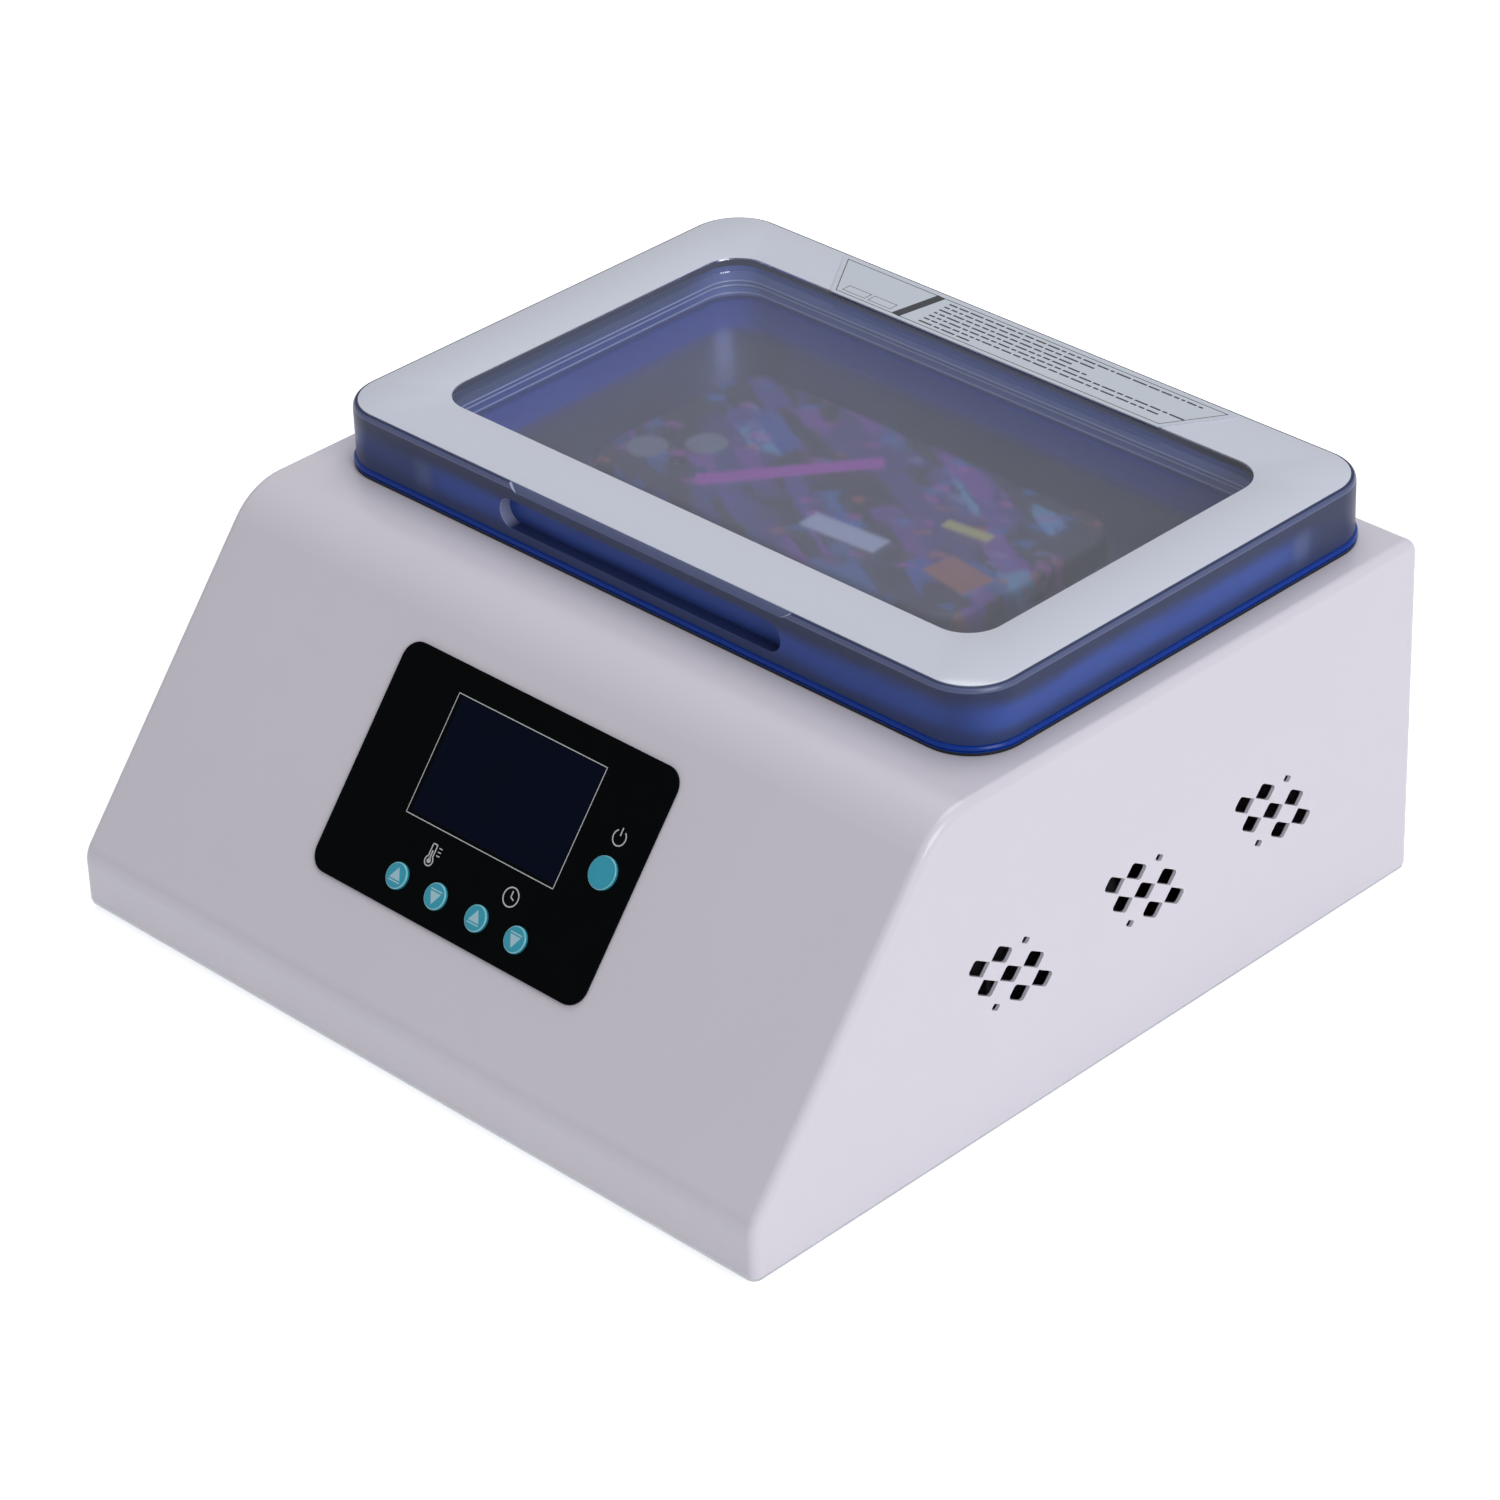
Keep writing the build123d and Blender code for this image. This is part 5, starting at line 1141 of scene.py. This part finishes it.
@dataclass
class RearPanel(Assembly):
    """Rear service panel with the fan and its guard, the mains inlet and the rocker switch."""

    pivot_y: float = 143.0 * MM
    rocker_reach: float = 6.3 * MM
    rocker_dip: float = 1.0 * MM
    rocker_half: float = 4.2 * MM
    rocker_tilt: float = math.radians(8.0)
    mark_half: float = 1.2 * MM
    solids = {
        Palette.body: ["rear_panel"],
        Palette.steel: ["rear_panel_screws", "fan_screws"],
        Palette.black: ["fan_frame", "fan_rotor", "fan_guard", "mains_inlet", "switch_frame"],
        Palette.brass: ["inlet_pins"],
        Palette.rocker: ["switch_rocker"],
    }

    def dish(self, side: int) -> Plane:
        """One half of the rocker's dished face.

        Args:
            side: 1 for the upper half, -1 for the lower half.

        Returns:
            The half's plane, with its origin in the middle.
        """
        (left, _, bottom), (right, _, top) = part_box("switch_frame")
        lean = Matrix.Rotation(-self.rocker_tilt, 3, "X")
        out, up = lean @ REAR, lean @ UP
        pivot = Vector(((left + right) / 2, self.pivot_y, (bottom + top) / 2))
        reach = out * (self.rocker_reach - self.rocker_dip / 2)
        slope = (out * side * self.rocker_dip + up * self.rocker_half).normalized()
        return Plane(pivot + reach + up * side * self.rocker_half / 2, -RIGHT, slope)

    def build(self) -> None:
        """Finish the panel and everything in it, and print the rocker's line and ring."""
        self.dress()
        line = Print("rocker_on_mark", self.dish(1))
        line.bar((0.0, -self.mark_half), (0.0, self.mark_half), 0.4 * MM)
        line.lay("power_rocker", Palette.ink_white)
        ring = Print("rocker_off_mark", self.dish(-1))
        ring.ring((0.0, 0.0), self.mark_half, 0.35 * MM)
        ring.lay("power_rocker", Palette.ink_white)


class Hinges(Assembly):
    """Two rear hinges that carry the lid."""

    solids = {
        Palette.hinge: ["lid_hinge_leaves", "body_hinge_leaves"],
        Palette.steel: ["hinge_pins", "lid_hinge_screws", "body_hinge_screws"],
    }


@dataclass
class ControlPanel(Assembly):
    """Black film panel on the slope, with its display, five buttons and printed icons."""

    front_y: float = -153.0 * MM
    lip_z: float = 21.8 * MM
    rise: float = 101.2 * MM
    run: float = 80.5 * MM
    up_slope: float = 70.0 * MM
    film: float = 0.8 * MM
    screen_width: float = 64.4 * MM
    screen_height: float = 39.4 * MM
    screen_up: float = 9.9 * MM
    border: float = 0.28 * MM
    mask_left: float = 1.5 * MM
    mask_right: float = 0.4 * MM
    mask_low: float = 1.0 * MM
    mask_high: float = 0.4 * MM
    button_proud: float = 1.0 * MM
    row_up: float = -28.6 * MM
    row_middle: float = 1.4 * MM
    pair_offset: float = 17.6 * MM
    button_offset: float = 8.6 * MM
    small_radius: float = 4.3 * MM
    start_at: Pair = (47.4 * MM, 1.3 * MM)
    start_radius: float = 5.3 * MM
    icon_up: float = -18.0 * MM
    heat_x: float = -16.2 * MM
    time_x: float = 19.0 * MM
    stroke: float = 0.42 * MM
    gap_start: float = math.radians(125)
    gap_sweep: float = math.radians(290)
    solids = {
        Palette.film: ["control_overlay"],
        Palette.glass: ["display_window"],
        Palette.black: ["display_module", "button_switches"],
    }

    def plane(self, out: float) -> Plane:
        """Find the panel's plane, at a height above the sloping sheet.

        Args:
            out: The height above the sheet.

        Returns:
            The plane, with its origin at the panel's middle.
        """
        length = math.hypot(self.rise, self.run)
        up = Vector((0.0, self.run / length, self.rise / length))
        origin = Vector((0.0, self.front_y, self.lip_z)) + up * self.up_slope + RIGHT.cross(up) * out
        return Plane(origin, RIGHT, up)

    def cap(self, name: str, spot: Pair, **sizes: float) -> None:
        """List one button with its finish, whose painted highlight rim runs round the button's own middle.

        Args:
            name: The button's node.
            spot: Its middle across and up the panel.
            **sizes: The button's radius and the width of its rim.
        """
        top = self.plane(self.film + self.button_proud)
        centre, normal = tuple(top.point(*spot)), tuple(top.across.cross(top.up))
        colour = srgb(38, 158, 184)
        cap = Button("button_teal", f"{name}_cap", colour, 0.36, centre=centre, normal=normal, **sizes)
        self.solids = self.solids | {cap: [name]}

    def build_buttons(self) -> None:
        """List each button's finish, and print a triangle and a bar on the four small ones."""
        top = self.plane(self.film + self.button_proud)
        for pair, middle in (("temp", -self.pair_offset), ("time", self.pair_offset)):
            for word, way in (("up", 1), ("down", -1)):
                name = f"button_{pair}_{word}"
                x, y = self.row_middle + middle - way * self.button_offset, self.row_up
                self.cap(name, (x, y), radius=self.small_radius)
                mark = Print(f"{name}_mark", top)
                mark.disc((x, y + 0.1 * MM * way), 2.6 * MM, 3, 0.0 if way > 0 else math.pi)
                low = y - 1.85 * MM * way
                mark.bar((x - 2.4 * MM, low), (x + 2.4 * MM, low), self.stroke)
                mark.lay(name, Palette.ink_mark)
        self.cap("button_start", self.start_at, radius=self.start_radius, rim=0.35 * MM)

    def build_screen(self, marks: Print) -> None:
        """Draw the screen's thin border, and mask the glass inside it.

        Args:
            marks: The panel's printing, which gets the border.
        """
        half_x, half_y, edge = self.screen_width / 2, self.screen_height / 2, self.border / 2
        low, high = self.screen_up - half_y, self.screen_up + half_y
        marks.box((-half_x - edge, low - edge), (half_x + edge, high + edge), self.border)
        mask = Print("screen_surround", self.plane(self.film))
        for side, wide in ((-1, self.mask_left), (1, self.mask_right)):
            x = side * (half_x - wide / 2)
            mask.bar((x, low), (x, high), wide)
        for side, wide in ((-1, self.mask_low), (1, self.mask_high)):
            y = self.screen_up + side * (half_y - wide / 2)
            mask.bar((self.mask_left - half_x, y), (half_x - self.mask_right, y), wide)
        mask.lay("housing", Palette.film)

    def draw_thermometer(self, marks: Print) -> None:
        """Draw a thermometer: an open bulb with its drop, a column in a tube, three ticks.

        Args:
            marks: The panel's printing, which gets the icon.
        """
        x, y = self.heat_x, self.icon_up
        tube = 0.9 * MM
        marks.ring((x, y - 2.0 * MM), 1.6 * MM, self.stroke, self.gap_start, self.gap_sweep)
        marks.disc((x, y - 2.0 * MM), 0.8 * MM)
        marks.bar((x, y - 2.0 * MM), (x, y + 1.4 * MM), 0.5 * MM)
        low, high = y - 0.7 * MM, y + 3.4 * MM
        walls = [(x - tube, low), (x - tube, high), (x + tube, high), (x + tube, low)]
        marks.path(walls, self.stroke, shut=False)
        for rank in range(3):
            tick = y + (0.4 + 1.2 * rank) * MM
            marks.bar((x + 2.0 * MM, tick), (x + 3.3 * MM, tick), 0.35 * MM)

    def draw_clock(self, marks: Print) -> None:
        """Draw a clock: a round face and two hands.

        Args:
            marks: The panel's printing, which gets the icon.
        """
        x, y = self.time_x, self.icon_up
        marks.ring((x, y), 3.0 * MM, self.stroke)
        marks.bar((x, y), (x, y + 2.0 * MM), self.stroke)
        marks.bar((x, y), (x + 1.4 * MM, y - 0.6 * MM), self.stroke)

    def draw_power(self, marks: Print) -> None:
        """Draw a power sign above the start button: an open ring and a stroke.

        Args:
            marks: The panel's printing, which gets the icon.
        """
        x, y = self.start_at[0], self.start_at[1] + 11.5 * MM
        marks.ring((x, y), 2.5 * MM, self.stroke, self.gap_start, self.gap_sweep)
        marks.bar((x, y + 0.6 * MM), (x, y + 3.2 * MM), self.stroke)

    def build(self) -> None:
        """Finish the film, display, buttons and everything behind them, and print the panel."""
        turn = -math.atan2(self.rise, self.run)
        board = Board("board_green", "control_board_resist", srgb(18, 92, 52), 0.4, turn=turn)
        self.solids = self.solids | {board: ["control_board"]}
        self.build_buttons()
        self.dress()
        marks = Print("panel_print", self.plane(self.film))
        self.build_screen(marks)
        self.draw_thermometer(marks)
        self.draw_clock(marks)
        self.draw_power(marks)
        marks.lay("housing", Palette.ink_pale)


class BlockSlot(IntEnum):
    """The finishes of the lid's clear block, in the order of its material slots."""

    # Bead, facet, end and seat slots carry painted highlights and light, satin and wall a painted glow,
    # shaded a painted shade.
    POLISHED, SATIN, BEAD, FACET, SHADED, WALL, SEAT, END = range(8)


class GasketSlot(IntEnum):
    """The finishes of the gasket, in the order of its material slots."""

    # The seat and bore slots carry painted light, and the foot's slot a painted shadow line.
    BLUE, FOOT, SEAT, BORE = range(4)


@dataclass
class Lid(Assembly):
    """Clear lid block with its enamelled top frame, membrane and blank label."""

    width: float = 278.2 * MM
    depth: float = 183.2 * MM
    corner: float = 18.0 * MM
    centre_y: float = 45.9 * MM
    low_z: float = 126.2 * MM
    high_z: float = 145.3 * MM
    edge_round: float = 1.6 * MM
    edge_drop: float = 2.3 * MM
    edge_steps: int = 6
    corner_steps: int = 16
    frame_inset: float = 1.8 * MM
    frame_corner: float = 16.0 * MM
    frame_low_z: float = 144.0 * MM
    frame_high_z: float = 145.5 * MM
    frame_edge: float = 0.25 * MM
    frame_steps: int = 20
    window_width: float = 230.8 * MM
    window_depth: float = 134.8 * MM
    window_corner: float = 12.5 * MM
    roof_z: float = 138.5 * MM
    step: float = 0.66 * MM
    step_z: tuple[float, ...] = (132.4 * MM, 130.4 * MM, 127.3 * MM)
    step_edge: float = 0.2 * MM
    bead: float = 0.2 * MM
    slack: float = 0.1 * MM
    pocket_length: float = 121.0 * MM
    pocket_height: float = 10.2 * MM
    pocket_depth: float = 4.2 * MM
    pocket_z: float = 134.7 * MM
    pocket_flare: float = 0.15 * MM
    pocket_steps: int = 18
    relief_x: float = 4.0 * MM
    relief_length: float = 122.0 * MM
    relief_taper: float = 4.0 * MM
    relief_reach: float = 1.7 * MM
    relief_drop: float = 2.3 * MM
    relief_foot: float = 0.15 * MM
    relief_steps: int = 10
    solids = {Palette.membrane: ["vacuum_membrane"], Palette.label: ["lid_label"]}

    def outer(self, z: float) -> Outline:
        """The lid's outer outline at a height."""
        return Outline(self.width, self.depth, self.corner, z)

    def window(self, z: float) -> Outline:
        """The window's outline at a height."""
        return Outline(self.window_width, self.window_depth, self.window_corner, z)

    def frame_rim(self, slack: float, z: float) -> Outline:
        """The frame's outer outline with some slack round it, at a height."""
        inset = 2 * self.frame_inset - 2 * slack
        return Outline(self.width - inset, self.depth - inset, self.frame_corner, z)

    @property
    def centre(self) -> Pair:
        """The lid's middle in x and y."""
        return (0.0, self.centre_y)

    @property
    def front_y(self) -> float:
        """Where the lid's front face is."""
        return self.centre_y - self.depth / 2

    def hollow(self) -> list[Outline]:
        """List the outlines of the stepped hollow under the window.

        Returns:
            The outlines, from its mouth to its roof.
        """
        count, edge = len(self.step_z), self.step_edge
        hollow = [self.window(self.low_z).grown(count * self.step)]
        for rank, z in zip(range(count, 0, -1), reversed(self.step_z)):
            wall = self.window(z).grown(rank * self.step)
            ledge = wall.grown(-self.step)
            hollow += [
                wall.at(z - edge),
                wall.grown(-edge),
                ledge.grown(self.bead),
                ledge.grown(-self.bead, z + self.bead),
                ledge.at(z + 3 * self.bead),
            ]
        return hollow + [self.window(self.roof_z - edge), self.window(self.roof_z).grown(-edge)]

    def pocket(self) -> Mesh:
        """Build the cutter for the finger pocket, a round-ended slot with a flared mouth.

        Returns:
            The cutter's mesh.
        """
        mouth = Outline(self.pocket_length, self.pocket_height, self.pocket_height / 2 - self.slack)
        floor, flared = mouth.at(-self.pocket_depth), mouth.grown(self.pocket_flare)
        skin = [floor, mouth.at(-self.pocket_flare), flared, flared.at(self.pocket_depth)]
        pocket = skinned(skin, (0.0, 0.0), self.pocket_steps)
        for face in pocket.faces:
            face.material_index = BlockSlot.SATIN
        bmesh.ops.rotate(pocket, matrix=Matrix.Rotation(math.pi / 2, 4, "X"), verts=pocket.verts)
        bmesh.ops.translate(pocket, vec=(0.0, self.front_y, self.pocket_z), verts=pocket.verts)
        return pocket

    def relief(self) -> Mesh:
        """Build the cutter for the shallow relief in the top edge above the finger pocket.

        Returns:
            The cutter's mesh.
        """
        foot, reach = self.relief_foot, self.relief_reach
        length = self.relief_length - 2 * self.relief_taper
        mouth = Outline(self.relief_length, 2 * reach, 0.9 * reach, self.high_z)
        low = Outline(length, 2 * foot, 0.9 * foot, self.high_z - self.relief_drop)
        skin = [low, mouth, mouth.at(self.high_z + self.relief_drop)]
        relief = skinned(skin, (self.relief_x, self.front_y), self.relief_steps)
        for face in relief.faces:
            # The relief's end faces get the pale seat colour as a painted highlight; the rest the facet
            # colour with its painted highlight.
            face.material_index = BlockSlot.SEAT if abs(face.normal.x) > 0.3 else BlockSlot.FACET
        return relief

    def build_block(self) -> None:
        """Build the clear block: rounded edge, recess for the frame, stepped hollow, pocket."""
        turns = [math.pi / 2 * part / self.edge_steps for part in range(self.edge_steps, -1, -1)]
        rounding = [
            self.outer(self.high_z - self.edge_drop * (1 - math.sin(turn))).grown(
                -self.edge_round * (1 - math.cos(turn))
            )
            for turn in turns
        ]
        inner = self.window(self.high_z).grown(-self.slack)
        plateau = Outline(inner.width, inner.depth, self.window_corner, self.high_z)
        recess = self.frame_rim(self.slack, self.high_z)
        top = [plateau, plateau.at(self.frame_low_z), recess.at(self.frame_low_z), recess]
        skin = top + rounding + [self.outer(self.low_z)] + self.hollow()
        slot = BlockSlot
        # The three facet strips on the edge rounding are a painted highlight band, the seat strip under the
        # block is painted light, and the beads are painted highlight lines.
        slots = [slot.POLISHED, slot.SEAT, slot.SEAT] + [slot.SATIN] * 3 + [slot.FACET] * 3
        slots += [slot.SATIN] * (len(rounding) - 5) + [slot.SEAT]
        slots += ([slot.WALL] * 4 + [slot.BEAD]) * len(self.step_z) + [slot.WALL, slot.POLISHED]
        block = piece_of(
            skinned(skin, self.centre, self.corner_steps, slots=slots), "lid_clear_block", "lid",
            Palette.clear, Palette.clear_edge, Palette.clear_bead_highlight, Palette.clear_facet,
            Palette.clear_shade, Palette.clear_wall, Palette.clear_seat, Palette.clear_end_highlight,
        )
        carved(block, [self.pocket(), self.relief()])
        self.mark_pocket(block)
        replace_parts(block, "lid_block")

    def mark_pocket(self, block: Piece) -> None:
        """Give the pocket's floor its painted shade and its rounded ends their painted highlight.

        Args:
            block: The clear block, with the pocket cut.
        """
        half_x = self.pocket_length / 2 + self.pocket_flare
        half_z = self.pocket_height / 2 + self.pocket_flare
        mouth, back = self.front_y + 0.05 * MM, self.front_y + self.pocket_depth - 0.2 * MM
        for face in block.data.polygons:
            x, y, z = face.center
            if mouth < y < back and abs(x) < half_x and abs(z - self.pocket_z) < half_z:
                if abs(face.normal.x) > 0.12:
                    face.material_index = BlockSlot.END
                elif face.normal.z > 0.5:
                    face.material_index = BlockSlot.SHADED

    def build_frame(self) -> None:
        """Build the enamelled frame round the window, with softened edges."""
        outer, inner = self.frame_rim(0.0, self.frame_low_z), self.window(self.frame_low_z)
        edge, top = self.frame_edge, self.frame_high_z
        soft = 0.3 * edge
        skin = [
            outer,
            outer.at(top - edge),
            outer.grown(-soft, top - soft),
            outer.grown(-edge, top),
            inner.grown(edge, top),
            inner.grown(soft, top - soft),
            inner.at(top - edge),
            inner,
        ]
        ring = skinned(skin, self.centre, self.frame_steps, ring=True)
        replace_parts(piece_of(ring, "lid_enamel_frame", "lid", Palette.lid_paint), "lid_top_frame")

    def build(self) -> None:
        """Build the block and frame, and finish the membrane and label."""
        self.build_block()
        self.build_frame()
        self.dress()


@dataclass
class Gasket(Assembly):
    """Blue silicone gasket: a lip that seals on the housing and a skirt that hangs inside."""

    lid: Lid
    top_z: float = 126.25 * MM
    low_z: float = 123.0 * MM
    skirt_z: float = 114.0 * MM
    overhang: float = 0.9 * MM
    skirt: float = 1.7 * MM
    skirt_edge: float = 0.4 * MM
    bead_width: float = 7.0 * MM
    bead_height: float = 1.0 * MM
    lip_round: float = 1.1 * MM
    lip_shoulder: float = 0.32 * MM
    lip_edge: float = 0.9 * MM
    groove: float = 0.55 * MM
    groove_z: float = 124.6 * MM
    foot: float = 1.2 * MM
    undercut: float = 0.25 * MM
    corner_steps: int = 20

    def build(self) -> None:
        """Build the gasket under the lid."""
        rim = self.lid.outer(self.low_z).grown(self.overhang)
        bore = self.lid.window(self.top_z)
        seat, skirt = bore.grown(self.bead_width), bore.grown(self.skirt)
        edge_z = self.skirt_z + self.skirt_edge
        skin = [
            seat,
            rim.grown(-self.lip_round, self.top_z),
            rim.grown(-self.lip_shoulder, self.top_z - self.lip_shoulder),
            rim.at(self.top_z - self.lip_edge),
            rim.at(self.groove_z + self.groove / 2),
            rim.grown(-self.groove, self.groove_z + 0.2 * self.groove),
            rim.grown(-self.groove, self.groove_z - 0.2 * self.groove),
            rim.at(self.groove_z - self.groove / 2),
            rim.at(self.low_z + self.foot),
            rim.grown(-self.undercut, self.low_z + self.foot),
            rim.grown(-self.undercut),
            skirt.at(self.low_z),
            skirt.at(edge_z),
            skirt.grown(-self.skirt_edge, self.skirt_z),
            bore.grown(self.skirt_edge, self.skirt_z),
            bore.at(edge_z),
            bore.at(self.top_z - self.bead_height),
            seat.at(self.top_z - self.bead_height),
        ]
        slot = GasketSlot
        # The seat and bore strips get painted light, the two foot strips a painted shadow.
        slots = [slot.SEAT] + [slot.BLUE] * 7 + [slot.FOOT] * 2 + [slot.BLUE] * 3 + [slot.BORE] * 4
        ring = piece_of(
            skinned(skin, self.lid.centre, self.corner_steps, ring=True, slots=slots),
            "lid_blue_gasket", "lid",
            Palette.gasket, Palette.gasket_shadow_line, Palette.gasket_seat, Palette.gasket_bore,
        )
        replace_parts(ring, "lid_gasket")


@dataclass
class Label(Assembly):
    """Printing on the blank label: a border, a dark bar, two empty boxes and rows of dashes."""

    rear_y: float = 134.5 * MM
    front_y: float = 112.5 * MM
    rear_half: float = 85.0 * MM
    front_half: float = 70.5 * MM
    z: float = 145.9 * MM
    margin: float = 1.7 * MM
    line: float = 0.28 * MM
    bar_x: float = -39.5 * MM
    bar_width: float = 3.6 * MM
    bar_lean: float = 4.0 * MM
    box_sides: tuple[Pair, ...] = ((-68.2 * MM, -58.4 * MM), (-56.8 * MM, -47.0 * MM))
    box_up: float = 1.6 * MM
    box_height: float = 3.4 * MM
    box_line: float = 0.22 * MM
    row_lengths: tuple[float, ...] = (
        108 * MM, 62 * MM, 58 * MM, 66 * MM, 104 * MM, 96 * MM, 20 * MM
    )
    row_margin: float = 2.0 * MM
    row_gap: float = 5.0 * MM
    dash: Pair = (1.4 * MM, 6.0 * MM)
    dash_gap: float = 0.9 * MM
    dash_width: float = 0.75 * MM
    seed: int = 11

    def half_at(self, y: float) -> float:
        """Half of the label's width at a depth."""
        share = (y - self.front_y) / (self.rear_y - self.front_y)
        return self.front_half + share * (self.rear_half - self.front_half)

    def draw_rows(self, marks: Print, low: float, high: float) -> None:
        """Draw rows of dashes of random lengths, to the right of the bar.

        Args:
            marks: The printing to add to.
            low: The front of the printed field.
            high: Its rear.
        """
        chance = random.Random(self.seed)
        pitch = (high - low - 2 * self.row_margin) / (len(self.row_lengths) - 1)
        for row, reach in enumerate(self.row_lengths):
            y = high - self.row_margin - row * pitch
            x = self.bar_x + self.row_gap
            end = x + reach
            while x < end:
                length = chance.uniform(*self.dash)
                marks.bar((x, y), (x + length, y), self.dash_width)
                x += length + self.dash_gap

    def build(self) -> None:
        """Lay the printing on the label."""
        marks = Print("lid_label_print", Plane(Vector((0, 0, self.z)), RIGHT, REAR))
        low, high = self.front_y + self.margin, self.rear_y - self.margin
        front, rear = (self.half_at(y) - 1.2 * self.margin for y in (low, high))
        marks.path([(-front, low), (front, low), (rear, high), (-rear, high)], self.line)
        foot, head = self.bar_x - self.bar_width, self.bar_x + self.bar_width - self.bar_lean
        marks.bar((foot, low), (head, high), self.bar_width)
        y = low + self.box_up
        for left, right in self.box_sides:
            marks.box((left, y), (right, y + self.box_height), self.box_line)
        self.draw_rows(marks, low, high)
        marks.lay("lid", Palette.ink_dark)


# --- Studio ---


@dataclass
class Studio:
    """White floor and surround, soft lamps, and the camera."""

    target: Point = (0.0, -3.0 * MM, 63.0 * MM)
    azimuth: float = 0.79827808
    elevation: float = 0.55483324
    roll: float = -0.03735953
    across: float = 2.0709 * MM
    up: float = -9.0649 * MM
    distance: float = 1709.5176 * MM
    focal: float = 5443.745
    middle: Pair = (751.362, 749.044)
    picture: float = 1500.0
    sensor: float = 36.0
    floor_radius: float = 9.0
    floor_lift: float = 0.6
    floor_far: Pair = (0.7, 2.2)
    ambient: float = 0.27
    mirrored: float = 0.32
    lamps: tuple[tuple[str, Point, float, float], ...] = (
        ("key_lamp", (3.6, -0.75, 2.1), 2.1, 79.0), ("top_lamp", (-0.3, 0.6, 2.4), 1.6, 21.0)
    )

    def build_camera(self) -> None:
        """Set the camera at its measured place and make it the scene's."""
        level = math.cos(self.elevation)
        forwards = -math.cos(self.azimuth) * level
        back = Vector((math.sin(self.azimuth) * level, forwards, math.sin(self.elevation)))
        right = (-back).cross(UP).normalized()
        top = right.cross(-back)
        place = Vector(self.target) + right * self.across + top * self.up + back * self.distance
        turned_right = math.cos(self.roll) * right + math.sin(self.roll) * top
        turned_top = math.cos(self.roll) * top - math.sin(self.roll) * right
        data = bpy.data.cameras.new("camera")
        data.sensor_width = self.sensor
        data.lens = self.focal / self.picture * self.sensor
        data.shift_x = (self.picture / 2 - self.middle[0]) / self.picture
        data.shift_y = (self.middle[1] - self.picture / 2) / self.picture
        data.clip_end = 50.0
        camera = linked("camera", data)
        axes = Matrix((turned_right, turned_top, back)).transposed().to_4x4()
        camera.matrix_world = Matrix.Translation(place) @ axes
        bpy.context.scene.camera = camera

    def build_floor(self) -> None:
        """Lay the pale floor, which the camera sees as white and which keeps the shadow."""
        material = bpy.data.materials.new("studio_floor")
        graph = Graph(material)
        rays = graph.add("LightPath").outputs
        seen = graph.maths("MAXIMUM", rays["Is Camera Ray"], rays["Is Glossy Ray"])
        seen = graph.maths("MAXIMUM", seen, rays["Is Transmission Ray"])
        tone = graph.mix(graph.noise(graph.place(), 0.4), srgb(246, 246, 248), srgb(250, 250, 251))
        matt = graph.add("BsdfDiffuse", {"Color": tone}).outputs[0]
        far = graph.fade(graph.length(graph.place()), *self.floor_far, 0.0, 1.0)
        beyond = graph.maths("MULTIPLY", rays["Is Camera Ray"], far)
        strength = graph.maths("MAXIMUM", graph.maths("MULTIPLY", seen, self.floor_lift), beyond)
        lift = graph.add("Emission", {"Strength": strength}).outputs[0]
        both = graph.add("AddShader", {0: matt, 1: lift}).outputs[0]
        graph.add("OutputMaterial", {"Surface": both})
        mesh = bmesh.new()
        bmesh.ops.create_circle(mesh, cap_ends=True, segments=96, radius=self.floor_radius)
        floor = linked("floor", stored(mesh, "floor"))
        floor.data.materials.append(material)

    def build_world(self) -> None:
        """Give an even surround, white where it is seen and dimmer as light and in reflections."""
        world = bpy.data.worlds.new("surround")
        bpy.context.scene.world = world
        graph = Graph(world)
        rays = graph.add("LightPath").outputs
        bounced = graph.maths("ADD", rays["Glossy Depth"], rays["Diffuse Depth"])
        straight = graph.maths("LESS_THAN", bounced, 0.5)
        through = graph.maths("MULTIPLY", rays["Is Transmission Ray"], straight)
        outside = graph.maths("LESS_THAN", rays["Transmission Depth"], 0.5)
        glossy = graph.maths("MULTIPLY", rays["Is Glossy Ray"], outside)
        mirrored = graph.maths("MULTIPLY", glossy, self.mirrored)
        seen = graph.maths("MAXIMUM", rays["Is Camera Ray"], graph.maths("MAXIMUM", through, mirrored))
        level = graph.add("MapRange", {"Value": seen, "To Min": self.ambient, "To Max": 1.0}).outputs[0]
        light = graph.add("Background", {"Color": (1.0, 1.0, 1.0, 1.0), "Strength": level}).outputs[0]
        graph.add("OutputWorld", {"Surface": light})

    def add_lamp(self, name: str, place: Point, size: float, power: float) -> None:
        """Hang a soft square lamp that looks at the machine.

        Args:
            name: The lamp's name.
            place: Where it hangs, in metres.
            size: Its side, in metres.
            power: Its power, in watts.
        """
        data = bpy.data.lights.new(name, "AREA")
        data.energy, data.size = power, size
        lamp = linked(name, data)
        lamp.location = place
        lamp.rotation_euler = (Vector(self.target) - Vector(place)).to_track_quat("-Z", "Y").to_euler()

    def build(self) -> None:
        """Build the camera, floor, surround and lamps."""
        bpy.context.scene.view_settings.view_transform = "Standard"
        self.build_camera()
        self.build_floor()
        self.build_world()
        for name, place, size, power in self.lamps:
            self.add_lamp(name, place, size, power)


def main() -> None:
    """Build and dress each sub-assembly in order."""
    logging.basicConfig(level=logging.INFO, format="%(name)s %(message)s")
    Studio().build()
    lid = Lid()
    for assembly in (
        Housing(), Chamber(), AirCircuit(), Electrics(), RearPanel(), Hinges(), ControlPanel(),
        lid, Gasket(lid), Label(),
    ):
        assembly.build()


if __name__ == "__main__":
    main()
